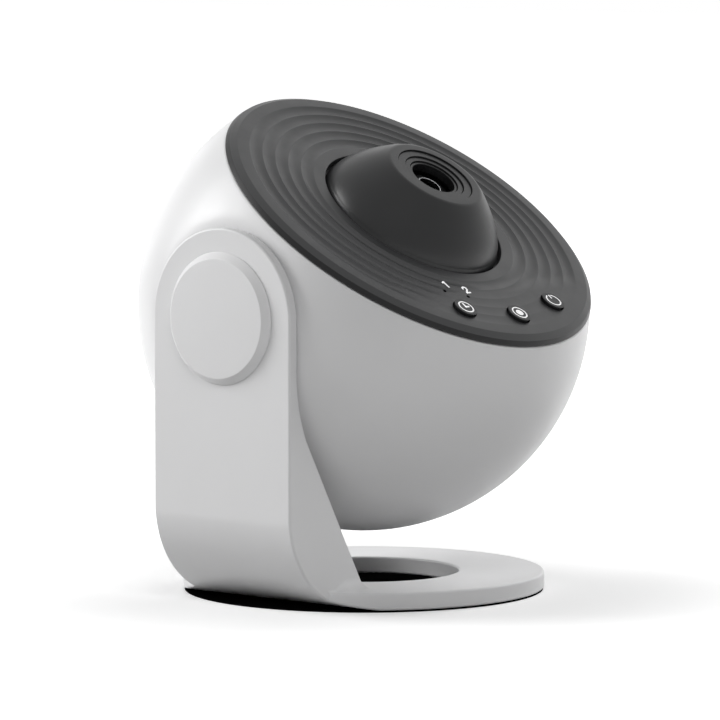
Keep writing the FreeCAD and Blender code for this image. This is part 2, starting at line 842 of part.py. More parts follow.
def tact_switch():
    """One switch on the button board, with the bore that the button's stem dips into."""
    case = block(s.switch_width, s.switch_width, s.switch_height, x=button_circle,
                 z=s.button_board_top)
    bore = rod(s.switch_bore_radius, s.switch_height, x=button_circle,
               z=s.button_board_top + s.switch_floor)
    return without(case, [bore])


def button(name):
    """One push button: cap, flange under the plate and stem down into its switch."""
    stem_bottom = s.button_board_top + s.switch_floor + s.button_travel + s.moving_gap
    corners = [
        (0.0, stem_bottom),
        (s.button_stem_radius, stem_bottom),
        (s.button_stem_radius, button_flange_bottom),
        (s.button_flange_radius, button_flange_bottom),
        (s.button_flange_radius, button_flange_top),
        (s.button_radius, button_flange_top),
        (s.button_radius, s.plate_top + s.button_proud),
        (0.0, s.plate_top + s.button_proud),
    ]
    body = turned(corners)
    move(body, x=button_circle)
    sub_part(f"{name}_button", turn_about_axis(body, control_angle(name)), "seat")


# ---------------------------------------------------------------- lens dome, barrel and mount

def lens_dome():
    """The dark focus dome: turns by hand, and its inner sleeve drives the barrel in and out."""
    inner = s.dome_radius - s.dome_wall
    roof = s.dome_roof
    corners = [
        (inner, dome_flange_bottom),
        (s.dome_flange_radius, dome_flange_bottom),
        (s.dome_flange_radius, dome_flange_top),
        (s.dome_radius, dome_flange_top),
        (s.dome_radius, s.plate_top),
        (s.dome_shoulder_radius, s.dome_shoulder),
        (s.dome_top_radius, s.dome_top),
        (s.outer_step_radius, s.dome_top),
        (s.outer_step_radius, s.dome_top - s.step_height),
        (s.middle_step_radius, s.dome_top - s.step_height),
        (s.middle_step_radius, s.dome_top - 2 * s.step_height),
        (s.inner_step_radius, s.dome_top - 2 * s.step_height),
        (s.inner_step_radius, s.dome_top - 3 * s.step_height),
        (s.aperture_radius, s.dome_top - 3 * s.step_height),
        (s.aperture_radius, roof),
        (sleeve_bore, roof),
        (sleeve_bore, s.dome_sleeve_bottom),
        (s.dome_sleeve_radius, s.dome_sleeve_bottom),
        (s.dome_sleeve_radius, roof),
        (s.dome_shoulder_radius, roof),
        (inner, s.plate_top),
    ]
    side = 4
    inside = len(corners) - 2
    sub_part("lens_dome", turned(corners, {side: s.dome_bulge, inside: -s.dome_bulge}), "seat")


def lens_mount():
    """The moulded mount under the plate: bearing for the dome and guide tube for the barrel."""
    deck_top = s.mount_deck + s.mount_deck_thickness
    lip = s.dome_flange_radius + s.running_fit
    corners = [
        (sleeve_bore, s.mount_tube_bottom),
        (s.mount_tube_radius, s.mount_tube_bottom),
        (s.mount_tube_radius, s.mount_deck),
        (s.mount_deck_radius, s.mount_deck),
        (s.mount_deck_radius, deck_top),
        (s.bearing_outer, deck_top),
        (s.bearing_outer, plate_underside),
        (lip, plate_underside),
        (lip, bearing_face),
        (s.bearing_inner, bearing_face),
        (s.bearing_inner, deck_top),
        (sleeve_bore, deck_top),
    ]
    body = joined([turned(corners)] + around(lambda: ear(s.mount_deck, s.mount_deck_thickness,
                                                         s.bearing_outer), MOUNT_ANGLES))
    clear = s.screw_radius + s.running_fit
    tools = around(lambda: rod(clear, 4 * s.mount_deck_thickness, x=s.mount_screw_circle,
                               z=s.mount_deck - over), MOUNT_ANGLES)
    slot_width = s.key_width + 2 * s.running_fit
    slot_top = s.barrel_bottom + s.key_rise + s.key_height + s.focus_travel + over
    tools += around(lambda: block(s.mount_tube_radius, slot_width, slot_top - s.mount_tube_bottom + over,
                                  x=s.mount_tube_radius + over, z=s.mount_tube_bottom - over),
                    KEY_ANGLES)
    sub_part("lens_mount", without(body, tools), "seat")
    screws_around("mount_screws", s.mount_screw_circle, MOUNT_ANGLES,
                  plate_underside - s.blind_end, lug_bottom)


def ear(bottom, thickness, from_radius):
    """A rounded ear that reaches out to the mounting screw circle."""
    arm = box_between((from_radius - over, s.mount_screw_circle), (-s.ear_radius, s.ear_radius),
                      (bottom, as_size(bottom) + thickness))
    return joined([arm, rod(s.ear_radius, thickness, x=s.mount_screw_circle, z=bottom)])


def lens_barrel():
    """The barrel with its two lenses: slides on three keys as the dome is turned."""
    front_seat = s.barrel_top - s.front_lens_depth
    rear_seat = s.barrel_bottom + s.rear_lens_depth
    corners = [
        (s.barrel_radius, s.barrel_bottom),
        (s.barrel_radius, s.barrel_top),
        (s.lens_seat_radius, s.barrel_top),
        (s.lens_seat_radius, front_seat),
        (s.barrel_bore, front_seat),
        (s.barrel_bore, rear_seat),
        (s.lens_seat_radius, rear_seat),
        (s.lens_seat_radius, s.barrel_bottom),
    ]
    key_bottom = s.barrel_bottom + s.key_rise
    keys = around(lambda: box_between((s.barrel_radius - over, s.key_reach),
                                      (-s.key_width / 2, s.key_width / 2),
                                      (key_bottom, key_bottom + s.key_height)), KEY_ANGLES)
    sub_part("lens_barrel", joined([turned(corners)] + keys), "seat")
    front_edge = front_seat + s.lens_edge
    front = [(0.0, front_seat), (s.lens_radius, front_seat), (s.lens_radius, front_edge),
             (s.lens_curve_radius, front_edge), (0.0, front_edge + s.lens_crown)]
    sub_part("front_lens", turned(front, {3: cap_rise(s.lens_curve_radius, s.lens_crown)}), "seat")
    rear_edge = rear_seat - s.lens_edge
    rear = [(0.0, rear_seat), (s.lens_radius, rear_seat), (s.lens_radius, rear_edge),
            (s.lens_curve_radius, rear_edge), (0.0, rear_edge - s.lens_crown)]
    sub_part("rear_lens", turned(rear, {3: -cap_rise(s.lens_curve_radius, s.lens_crown)}), "seat")
    retaining_ring("front_retainer", front_edge, s.barrel_top, 1.0)
    retaining_ring("rear_retainer", rear_edge, s.barrel_bottom, -1.0)


def cap_rise(radius, crown):
    """The bulge of half a lens section: an arc from the rim to a level crown."""
    half = Size(math.hypot(radius.number, crown.number) / 2,
                f"(sqrt(({radius.text}) ^ 2 + ({crown.text}) ^ 2) / 2)")
    sphere = (radius * radius + crown * crown) / (2 * crown)
    return sphere - root_of_difference(sphere, half)


def retaining_ring(name, start, end, side):
    """A threaded ring with a lip that holds a lens in the barrel."""
    outer = s.lens_seat_radius - s.seat_gap
    lip = end - side * s.retainer_lip
    corners = [(s.lens_curve_radius + s.running_fit, start), (outer, start), (outer, end),
               (s.retainer_bore, end), (s.retainer_bore, lip),
               (s.lens_curve_radius + s.running_fit, lip)]
    sub_part(name, turned(corners), "seat")


# ---------------------------------------------------------------- light housing and star disc

def light_housing():
    """The drum that carries the star disc, with a neck below for the condenser and the lamp."""
    floor = s.drum_floor
    deck = floor + s.drum_floor_thickness
    step_radius = s.drum_radius - s.drum_step_wall
    journal_bore = s.journal_radius + s.running_fit
    ledge_bottom = s.condenser_seat - s.condenser_ledge_thickness
    neck_outer = s.neck_bore + s.neck_wall
    corners = [
        (s.neck_bore, deck),
        (s.neck_bore, s.condenser_seat),
        (s.condenser_ledge_radius, s.condenser_seat),
        (s.condenser_ledge_radius, ledge_bottom),
        (s.neck_bore, ledge_bottom),
        (s.neck_bore, s.neck_bottom),
        (s.neck_flange_radius, s.neck_bottom),
        (s.neck_flange_radius, s.neck_bottom + s.neck_flange_thickness),
        (neck_outer, s.neck_bottom + s.neck_flange_thickness),
        (neck_outer, floor),
        (s.drum_radius, floor),
        (s.drum_radius, s.mount_deck),
        (s.drum_radius - s.drum_wall, s.mount_deck),
        (s.drum_radius - s.drum_wall, keeper_seat),
        (step_radius, keeper_seat),
        (step_radius, s.carrier_ledge),
        (journal_bore, s.carrier_ledge),
        (journal_bore, deck),
    ]
    lugs = around(lambda: ear(lug_bottom, s.lug_thickness, s.drum_radius), MOUNT_ANGLES)
    pad = box_between((-shaft_distance - s.motor_pad_reach, -s.journal_radius - s.drum_wall),
                      (-s.motor_pad_width / 2, s.motor_pad_width / 2), (floor, s.carrier_ledge))
    body = joined([turned(corners), pad] + lugs)
    clear = s.screw_radius + s.running_fit
    window = s.motor_pad_width + 2 * s.moving_gap
    tools = around(lambda: rod(clear, 3 * s.lug_thickness, x=s.mount_screw_circle,
                               z=lug_bottom - over), MOUNT_ANGLES)
    tools.append(box_between((-shaft_distance - 2 * s.motor_pad_reach, -s.journal_radius - s.drum_wall),
                             (-window / 2, window / 2), (s.carrier_ledge, keeper_seat + s.moving_gap)))
    depth = s.carrier_ledge - floor + 2 * over
    tools.append(rod(s.shaft_radius + s.moving_gap, depth, x=-shaft_distance, z=floor - over))
    for side in (-1.0, 1.0):
        y = side * s.motor_screw_spread
        tools.append(rod(clear, depth, -shaft_distance, y, floor - over))
        tools.append(rod(s.screw_head_radius, depth, -shaft_distance, y,
                         s.carrier_ledge - s.screw_head_height - s.moving_gap))
    pilots = around(lambda: rod(s.screw_radius, 2 * s.neck_flange_thickness,
                                x=s.heatsink_screw_circle, z=s.neck_bottom - over),
                    HEATSINK_SCREW_ANGLES)
    sub_part("light_housing", without(body, tools + pilots), "seat")


def disc_keeper():
    """The thin ring above the disc carrier that keeps it on its ledge."""
    outer = s.drum_radius - s.drum_wall - s.snap_gap
    keeper = ring(outer, s.keeper_inner, s.keeper_thickness, keeper_seat)
    sub_part("disc_keeper", keeper, "seat")


def involute_flank(base_radius, tip_radius, start_radius, half_angle, side):
    """Points along one tooth flank from the root to the tip."""
    steps = 6
    points = []
    if start_radius < base_radius:
        points.append(polar_point(start_radius, -side * half_angle))
        start_radius = base_radius
    for step in range(steps + 1):
        radius = start_radius + (tip_radius - start_radius) * step / steps
        pressure = math.acos(min(1.0, base_radius / radius))
        rolled = math.tan(pressure) - pressure
        points.append(polar_point(radius, -side * (half_angle - rolled)))
    return points


def polar_point(radius, angle):
    """A point in the gear's plane."""
    return Vector(radius * math.cos(angle), radius * math.sin(angle), 0)


def gear_blank(teeth, addendum, dedendum, thickness, z):
    """A spur gear blank with involute teeth and play between the flanks."""
    pressure = math.radians(20)
    pitch_radius = s.gear_module.number * teeth.number / 2
    base_radius = pitch_radius * math.cos(pressure)
    tip_radius = pitch_radius + addendum.number
    root_radius = pitch_radius - dedendum.number
    half_tooth = (math.pi * s.gear_module.number / 2 - s.tooth_backlash.number) / pitch_radius / 2
    half_angle = half_tooth + math.tan(pressure) - pressure
    flank = involute_flank(base_radius, tip_radius, root_radius, half_angle, 1)
    mirrored = [Vector(point.x, -point.y, 0) for point in reversed(flank)]
    points = []
    for tooth in range(int(teeth.number)):
        turn = Rotation(Vector(0, 0, 1), 360.0 * tooth / teeth.number)
        points += [turn.multVec(point) for point in flank + mirrored]
    wire = Part.makePolygon(points + points[:1])
    item = DOCUMENT.addObject("Part::Feature", "gear_blank")
    item.Shape = Part.Face(wire).extrude(Vector(0, 0, thickness.number))
    return move(item, z=z)


def disc_carrier():
    """The toothed ring that turns the star disc, with the disc and its spring clip."""
    bottom = s.drum_floor + s.drum_floor_thickness + s.cover_gap
    blank = gear_blank(s.carrier_teeth, s.carrier_addendum, s.gear_dedendum,
                       s.carrier_thickness, carrier_bottom)
    journal = rod(s.journal_radius, carrier_bottom - bottom, z=bottom)
    window = rod(s.disc_window_radius, carrier_top - bottom + 2 * over, z=bottom - over)
    pocket = rod(s.disc_pocket_radius, s.disc_pocket_depth + over, z=disc_pocket)
    sub_part("disc_carrier", without(joined([blank, journal]), [window, pocket]), "seat")
    sub_part("star_disc", rod(s.disc_radius, s.disc_thickness, z=disc_pocket), "seat")
    clip_bottom = disc_pocket + s.disc_thickness
    clip = ring(s.disc_radius, s.disc_radius - s.clip_width, s.clip_thickness, clip_bottom)
    gap = block(s.disc_radius, s.clip_gap, 3 * s.clip_thickness, x=s.disc_radius,
                z=clip_bottom - s.clip_thickness)
    sub_part("disc_clip", without(clip, [gap]), "seat")


def disc_drive():
    """The gear motor under the drum's floor, its screws and the pinion on its shaft."""
    face = s.drum_floor
    gearbox_bottom = face - s.gearbox_length
    gearbox = block(s.gearbox_width, s.gearbox_depth, s.gearbox_length, x=-shaft_distance,
                    z=gearbox_bottom)
    motor = rod(s.motor_radius, s.motor_length, x=-shaft_distance, z=gearbox_bottom - s.motor_length)
    shaft_bottom = face - s.shaft_below
    tools = [rod(s.shaft_radius + s.seat_gap, s.gearbox_length, x=-shaft_distance,
                 z=shaft_bottom - s.moving_gap)]
    for side in (-1.0, 1.0):
        tools.append(rod(s.screw_radius, s.lug_thickness + over, -shaft_distance,
                         side * s.motor_screw_spread, face - s.lug_thickness))
    sub_part("gear_motor", without(joined([gearbox, motor]), tools), "seat")
    head_seat = s.carrier_ledge - s.screw_head_height - s.moving_gap
    screws = []
    for side in (-1.0, 1.0):
        y = side * s.motor_screw_spread
        tip = face - s.lug_thickness + s.moving_gap
        head = rod(s.screw_head_radius - s.snap_gap, s.screw_head_height, -shaft_distance, y, head_seat)
        screws.append(joined([head, rod(s.screw_radius, head_seat - tip, -shaft_distance, y, tip)]))
    sub_part("motor_screws", joined(screws), "seat")
    pinion_bottom = carrier_bottom + s.running_fit
    thickness = s.carrier_thickness - 2 * s.running_fit
    pinion = gear_blank(s.pinion_teeth, s.pinion_addendum, s.pinion_dedendum, thickness, pinion_bottom)
    turn = turn_about_axis(pinion, 180.0 / s.pinion_teeth)
    placed = placed_alone(turn)
    move(placed, x=-shaft_distance)
    bore = rod(s.shaft_radius, 3 * thickness, x=-shaft_distance, z=pinion_bottom - over)
    sub_part("drive_pinion", without(placed, [bore]), "seat")
    shaft = rod(s.shaft_radius, pinion_bottom + thickness - shaft_bottom, x=-shaft_distance,
                z=shaft_bottom)
    sub_part("motor_shaft", shaft, "seat")


def light_engine():
    """Condenser lens and its ring, lamp board with its lamp, and the heatsink with its screws."""
    seat = s.condenser_seat
    edge = seat + s.condenser_edge
    lens = [(0.0, seat), (s.condenser_radius, seat), (s.condenser_radius, edge),
            (0.0, edge + s.condenser_crown)]
    sub_part("condenser_lens", turned(lens, {2: cap_rise(s.condenser_radius, s.condenser_crown)}),
             "seat")
    clamp = ring(s.neck_bore - s.seat_gap, s.condenser_radius - s.condenser_ring_width,
                 s.condenser_ring_thickness, edge + s.condenser_ring_lift)
    sub_part("condenser_ring", clamp, "seat")
    sub_part("led_board", rod(s.led_board_radius, s.board_thickness, z=s.neck_bottom), "seat")
    led_edge = led_face + s.led_height
    led = [(0.0, led_face), (s.led_radius, led_face), (s.led_radius, led_edge),
           (0.0, led_edge + s.led_crown)]
    sub_part("led_lamp", turned(led, {2: cap_rise(s.led_radius, s.led_crown)}), "seat")
    base_bottom = s.neck_bottom - s.heatsink_base
    base = rod(s.neck_flange_radius, s.heatsink_base, z=base_bottom)
    count = 7
    fins = [block(s.fin_thickness, 2 * s.fin_field_radius, s.fin_height + over,
                  x=s.fin_pitch * (step - (count - 1) / 2), z=base_bottom - s.fin_height)
            for step in range(count)]
    field = rod(s.fin_field_radius, s.fin_height + over, z=base_bottom - s.fin_height)
    clear = s.screw_radius + s.running_fit
    holes = around(lambda: rod(clear, 2 * s.heatsink_base, x=s.heatsink_screw_circle,
                               z=base_bottom - over), HEATSINK_SCREW_ANGLES)
    heatsink = without(joined([base, shared(joined(fins), field)]), holes)
    sub_part("heatsink", heatsink, "seat")
    screws_around("heatsink_screws", s.heatsink_screw_circle, HEATSINK_SCREW_ANGLES,
                  s.neck_bottom + s.neck_flange_thickness, base_bottom)


# ---------------------------------------------------------------- pivot

def pivot():
    """The hub through the arm with its screws, washers, clamp disc and bolt, and the cap."""
    flange_bottom = hub_face - s.hub_flange_thickness
    bolt_bore = s.bolt_radius + s.seat_gap
    bore_bottom = hub_end - s.bolt_depth - s.cover_gap
    hub = [(0.0, flange_bottom), (s.hub_flange_radius, flange_bottom), (s.hub_flange_radius, hub_face),
           (s.hub_radius, hub_face), (s.hub_radius, hub_end), (bolt_bore, hub_end),
           (bolt_bore, bore_bottom), (0.0, bore_bottom)]
    clear = s.screw_radius + s.running_fit
    holes = around(lambda: rod(clear, 2 * s.hub_flange_thickness, x=s.hub_screw_circle,
                               z=flange_bottom - over), HUB_SCREW_ANGLES)
    sub_part("pivot_hub", laid_outwards(without(turned(hub), holes)), "head")
    tip = hub_face + s.pivot_wall - 2 * s.blind_end - s.cover_gap
    screws = around(lambda: screw(tip, flange_bottom, x=s.hub_screw_circle), HUB_SCREW_ANGLES)
    sub_part("hub_screws", laid_outwards(joined(screws)), "head")
    washer = ring(s.friction_outer, s.friction_inner, arm_inner + s.friction_recess
                  - pivot_flat - s.seat_gap, pivot_flat + s.seat_gap)
    sub_part("friction_washer", washer, "pivot")
    web_face = arm_outer - s.cap_pocket_depth
    sub_part("wave_washer", ring(s.wave_outer, s.wave_inner, s.wave_thickness, web_face), "pivot")
    clamp_top = hub_end + s.clamp_thickness
    clamp = [(bolt_bore, hub_end), (s.clamp_radius, hub_end), (s.clamp_radius, clamp_top),
             (s.bolt_head_radius + s.seat_gap, clamp_top)]
    sub_part("clamp_disc", turned(clamp), "pivot")
    bolt = [(0.0, hub_end - s.bolt_depth), (s.bolt_radius, hub_end - s.bolt_depth),
            (s.bolt_radius, hub_end), (s.bolt_head_radius, clamp_top), (0.0, clamp_top)]
    sub_part("pivot_bolt", turned(bolt), "pivot")
    face = arm_outer + s.cap_height
    spigot = arm_outer - s.cap_pocket_depth + s.snap_gap
    cap = [(s.cap_bore, spigot), (s.cap_pocket_radius - s.snap_gap, spigot),
           (s.cap_pocket_radius - s.snap_gap, arm_outer), (s.cap_base_radius, arm_outer),
           (s.cap_face_radius, face), (0.0, face), (0.0, face - s.cap_wall),
           (s.cap_bore, face - s.cap_wall)]
    sub_part("pivot_cap", turned(cap), "pivot")


# ---------------------------------------------------------------- stand

def slope_reach(height):
    """How far out the arm's inner slope lies at a height above the shell's bottom."""
    rise = (as_size(height) - s.slope_low_height) / (slope_mid_height - s.slope_low_height)
    return slope_low + rise * (slope_mid - slope_low)


def arm_body():
    """The arm before it is cut: a plate at the top that thickens into the foot."""
    foot = s.foot_gap
    top = s.centre_height + s.arm_half_width + over
    corners = [
        (-arm_outer, top),
        (-arm_inner, top),
        (-arm_inner, s.centre_height - s.slope_top_drop),
        (-slope_mid, foot + slope_mid_height),
        (-slope_low, foot + s.slope_low_height),
        (-slope_low, foot),
        (-arm_outer, foot),
    ]
    arm = drawn("YZ_Plane", corners, 2 * s.arm_half_width, {2: s.slope_bulge})
    head = rod(s.arm_half_width, arm_outer, z=s.centre_height, outwards=True)
    shaft = box_between((-s.arm_half_width, s.arm_half_width), (-arm_outer, 0.0),
                        (0.0, s.centre_height))
    return shared(arm, joined([head, shaft]))


def under_bend():
    """The space under the foot, outside the big bend from the arm to the base ring."""
    foot = s.foot_gap
    corners = [
        (-bend_foot, foot),
        (-arm_outer, foot + s.bend_height),
        (-arm_outer - over, foot + s.bend_height),
        (-arm_outer - over, -over),
        (-bend_foot, -over),
    ]
    return drawn("YZ_Plane", corners, 2 * s.ring_radius + 2 * over, {0: -s.bend_bulge})


def base_slice(item, edge):
    """The part of a base piece that lies clear of the bend."""
    radius = s.ring_radius
    return shared(item, box_between((-radius, radius), (-edge, radius), (-radius, radius)))


def pocket_shape(gap, height, z):
    """A ring that fits in the pocket under the base, cut straight beside the bend."""
    shape = ring(pocket_outer - gap, pocket_inner + gap, height, z)
    return base_slice(shape, bend_foot - s.ring_wall - gap)


def stand_shell():
    """The one-piece white stand: base ring, bend and arm, with a peg that stops the tilt."""
    foot = s.foot_gap
    disc = rod(s.ring_radius, s.ring_thickness, z=foot)
    dish = shared(move(ball(s.ball_radius + s.dish_gap), z=s.centre_height),
                  box_between((-arm_outer, arm_outer), (-arm_inner, arm_outer),
                              (0.0, 2 * s.centre_height)))
    web_face = arm_outer - s.cap_pocket_depth
    recess = arm_inner + s.friction_recess
    bore = rod(s.hub_radius + s.running_fit, arm_outer, z=s.centre_height, outwards=True)
    bore = move(bore, z=s.centre_height)
    pocket = rod(s.cap_pocket_radius, arm_outer, y=-web_face, z=s.centre_height, outwards=True)
    washer_seat = rod(s.friction_outer + s.snap_gap, recess, z=s.centre_height, outwards=True)
    tools = [rod(s.ring_hole_radius, 2 * s.ring_thickness, z=0.0), dish, under_bend(), bore, pocket,
             washer_seat, arm_cavity(), pocket_shape(0.0, pocket_roof - foot + over, foot - over)]
    shell = without(joined([disc, arm_body()]), tools)
    bosses = around(base_boss, BASE_SCREW_ANGLES)
    peg = rod(s.stop_radius, s.stop_length + over, y=-arm_inner + s.stop_length,
              z=s.centre_height - s.stop_circle, outwards=True)
    sub_part("stand_shell", joined([shell, peg] + bosses))


def base_boss():
    """A boss under the base ring's roof that takes a base screw."""
    bottom = s.foot_gap + s.base_plate_thickness
    boss = rod(s.boss_radius, pocket_roof - bottom + over / 2, x=s.base_screw_circle, z=bottom)
    pilot = rod(s.screw_radius, pocket_roof - bottom + over / 4, x=s.base_screw_circle,
                z=bottom - over / 4)
    return without(boss, [pilot])


def cavity_outline(gap):
    """The outline of the arm's hollow, open towards the ball."""
    foot = s.foot_gap
    low = s.arm_cavity_low + gap
    top = arm_cavity_top - gap
    return [
        (-slope_reach(low), foot + low),
        (-slope_reach(top), foot + top),
    ]


def arm_cavity():
    """The hollow in the thick lower arm, open through the inner slope."""
    foot = s.foot_gap
    low, top = cavity_outline(0.0)
    corners = [
        (low[0] + s.arm_cavity_wall, low[1]),
        (top[0] + s.arm_cavity_wall, top[1]),
        (-arm_outer + s.arm_cavity_wall, top[1]),
        (-arm_outer + s.arm_cavity_foot, foot + s.arm_cavity_floor),
        (low[0] - s.arm_cavity_wall, foot + s.arm_cavity_floor),
        (low[0] - s.arm_cavity_wall, low[1]),
    ]
    width = 2 * (s.arm_half_width - s.arm_cavity_wall)
    return drawn("YZ_Plane", corners, width, {2: s.arm_cavity_bulge})


def arm_cover():
    """The flush cover over the arm's hollow."""
    low, top = cavity_outline(s.snap_gap)
    corners = [low, top, (top[0] - s.arm_cover_thickness, top[1]),
               (low[0] - s.arm_cover_thickness, low[1])]
    width = 2 * (s.arm_half_width - s.arm_cavity_wall - s.snap_gap)
    sub_part("arm_cover", drawn("YZ_Plane", corners, width))


def base():
    """Ballast, bottom plate, screws and rubber pad."""
    foot = s.foot_gap
    plate_top = foot + s.base_plate_thickness
    clear = s.boss_radius + s.moving_gap
    holes = around(lambda: rod(clear, s.ring_thickness, x=s.base_screw_circle, z=plate_top - over),
                   BASE_SCREW_ANGLES)
    ballast = without(pocket_shape(s.cover_gap, pocket_roof - plate_top, plate_top), holes)
    sub_part("ballast_plate", ballast)
    head = s.base_plate_thickness - s.base_screw_web
    tools = around(lambda: rod(s.screw_radius + s.running_fit, s.ring_thickness,
                               x=s.base_screw_circle, z=foot - over), BASE_SCREW_ANGLES)
    tools += around(lambda: rod(s.screw_head_radius + s.running_fit, head + over,
                                x=s.base_screw_circle, z=foot - over), BASE_SCREW_ANGLES)
    sub_part("base_plate", without(pocket_shape(s.snap_gap, s.base_plate_thickness, foot), tools))
    screws = around(lambda: joined([
        rod(s.screw_head_radius, head - s.snap_gap, x=s.base_screw_circle, z=foot + s.snap_gap),
        rod(s.screw_radius, pocket_roof - foot - head, x=s.base_screw_circle, z=foot + head),
    ]), BASE_SCREW_ANGLES)
    sub_part("base_screws", joined(screws))
    sub_part("rubber_pad", rod(s.pad_radius, foot))


# ---------------------------------------------------------------- build, check and write

def check_objects():
    """Stop if any object failed to build or any sub-part has no sound shape."""
    for item in DOCUMENT.Objects:
        if "Invalid" in item.State or "Error" in item.State:
            raise RuntimeError(f"{item.Name} ({item.Label}) failed: {item.State}")
    for item in SUB_PARTS:
        if item.Shape.isNull() or not item.Shape.isValid() or not item.Shape.Solids:
            raise RuntimeError(f"{item.Label} has no sound solid")


def build():
    """Build every sub-part, then write one STEP file for each."""
    stand_shell()
    arm_cover()
    base()
    pivot()
    head_shell()
    rear_cover()
    main_board()
    front_plate()
    button_board()
    for name in BUTTON_TURNS:
        button(name)
    lens_dome()
    lens_mount()
    lens_barrel()
    light_housing()
    disc_keeper()
    disc_carrier()
    disc_drive()
    light_engine()
    DOCUMENT.recompute()
    check_objects()
    os.makedirs("parts", exist_ok=True)
    for item in SUB_PARTS:
        item.Shape.exportStep(os.path.join("parts", f"{item.Label}.step"))
        print(f"{item.Label}: {len(item.Shape.Solids)} solids, {item.Shape.Volume:.1f} mm3")


build()
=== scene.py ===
"""Looks of the planetarium projector: its pieces, materials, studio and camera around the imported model.

Sizes are in millimetres and angles in degrees, apart from the studio, which is in metres.
A profile is a list of (radius, height) points. On the head, height runs along the optical axis,
from the ball's centre.
"""

import json
import math

import bmesh
import bpy
from mathutils import Matrix, Vector


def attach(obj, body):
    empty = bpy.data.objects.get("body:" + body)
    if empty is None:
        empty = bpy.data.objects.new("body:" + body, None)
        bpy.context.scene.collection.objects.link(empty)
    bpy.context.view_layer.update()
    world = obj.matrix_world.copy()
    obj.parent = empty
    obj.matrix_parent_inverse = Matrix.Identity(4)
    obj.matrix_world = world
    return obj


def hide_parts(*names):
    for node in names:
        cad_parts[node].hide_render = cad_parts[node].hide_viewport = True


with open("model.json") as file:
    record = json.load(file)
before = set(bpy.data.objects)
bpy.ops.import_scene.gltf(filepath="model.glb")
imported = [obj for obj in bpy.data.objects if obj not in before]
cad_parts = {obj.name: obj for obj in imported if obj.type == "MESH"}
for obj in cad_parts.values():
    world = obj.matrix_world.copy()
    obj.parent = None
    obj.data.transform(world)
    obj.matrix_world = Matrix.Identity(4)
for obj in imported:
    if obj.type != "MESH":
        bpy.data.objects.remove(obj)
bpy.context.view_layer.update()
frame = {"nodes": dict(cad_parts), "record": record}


# ---------------------------------------------------------------- shared values

MM = 0.001
WHITE = (1, 1, 1, 1)

# the head's z axis is the optical axis, and the pivot's z axis points out of the arm
LENS_ELEVATION = 55.44
CENTRE_HEIGHT = 94.7
CENTRE = Matrix.Translation((0, 0, CENTRE_HEIGHT * MM))
HEAD = CENTRE @ Matrix.Rotation(math.radians(90 - LENS_ELEVATION), 4, "Y")
PIVOT = CENTRE @ Matrix.Rotation(math.radians(90), 4, "X")
STAND = Matrix.Identity(4)

PLATE_SEAT = 34.2
PLATE_TOP = 37.6

BUTTON_CIRCLE = 54.3
BUTTON_SPREAD = 24.3
CONTROL_TURN = -1.3
BUTTON_ANGLES = {
    "timer": CONTROL_TURN - BUTTON_SPREAD,
    "mode": CONTROL_TURN,
    "power": CONTROL_TURN + BUTTON_SPREAD,
}


# ---------------------------------------------------------------- material helpers

# the part of a noise that a colour or value goes over
NOISE_ENDS = (0.3, 0.7)
NOISE_ROUGHNESS = 0.55
PLAIN_DETAIL = 2.0
RICH_DETAIL = 4.0


def feed(tree, node, inputs):
    """Link a node's inputs, by name or number, to other nodes' outputs, or set their values."""
    for key, value in inputs.items():
        if isinstance(value, bpy.types.NodeSocket):
            tree.links.new(value, node.inputs[key])
        else:
            node.inputs[key].default_value = value


def add_node(tree, kind, inputs=None, **settings):
    """A new node with its settings and inputs."""
    node = tree.nodes.new(kind)
    for setting, value in settings.items():
        setattr(node, setting, value)
    feed(tree, node, inputs or {})
    return node


def new_material(name):
    """A new node material, its nodes and its shader."""
    material = bpy.data.materials.new(name)
    material.use_nodes = True
    shader = material.node_tree.nodes["Principled BSDF"]
    return material, material.node_tree, shader


def texture_vector(tree):
    """Object coordinates in millimetres."""
    place = add_node(tree, "ShaderNodeTexCoord").outputs["Object"]
    return add_node(tree, "ShaderNodeVectorMath", {0: place, "Scale": 1 / MM}, operation="SCALE").outputs[0]


def noise(tree, vector, scale, detail):
    """A noise on the given coordinates."""
    inputs = {"Vector": vector, "Scale": scale, "Detail": detail, "Roughness": NOISE_ROUGHNESS}
    return add_node(tree, "ShaderNodeTexNoise", inputs).outputs["Fac"]


def colour_between(tree, factor, low, high, ends=NOISE_ENDS):
    """A colour between two colours, as the factor goes from end to end."""
    node = add_node(tree, "ShaderNodeValToRGB", {0: factor})
    for element, position, colour in zip(node.color_ramp.elements, ends, (low, high)):
        element.position = position
        element.color = (*colour, 1)
    return node.outputs[0]


def value_between(tree, factor, low, high, ends=NOISE_ENDS, course="LINEAR"):
    """A value between two values, as the factor goes from end to end."""
    start, end = ends
    inputs = {"Value": factor, "From Min": start, "From Max": end, "To Min": low, "To Max": high}
    return add_node(tree, "ShaderNodeMapRange", inputs, interpolation_type=course).outputs[0]


def bumps(tree, factor, height):
    """A normal that raises the surface by a factor, with the height in millimetres."""
    inputs = {"Height": factor, "Strength": 1.0, "Distance": height * MM}
    return add_node(tree, "ShaderNodeBump", inputs).outputs[0]


# ---------------------------------------------------------------- materials

# noise scales are in waves per millimetre, and spreads are how far the roughness goes down and up
DRIFT_SCALE = 0.03
SMUDGE_SCALE = 0.11
SMUDGE_SPREAD = (0.03, 0.04)
BRUSH_SCALE = 1.2
BRUSH_STRETCH = (1.0, 1.0, 12.0)
BRUSH_SPREAD = (0.05, 0.08)
BRUSH_SHADE = 0.88
BRUSH_HEIGHT = 0.01
TINT_SCALE = 0.2
SPECK_SCALE = 0.7
SPECK_ENDS = (0.05, 0.12)
FILM_SCALE = 0.3
FILM_DETAIL = 3.0


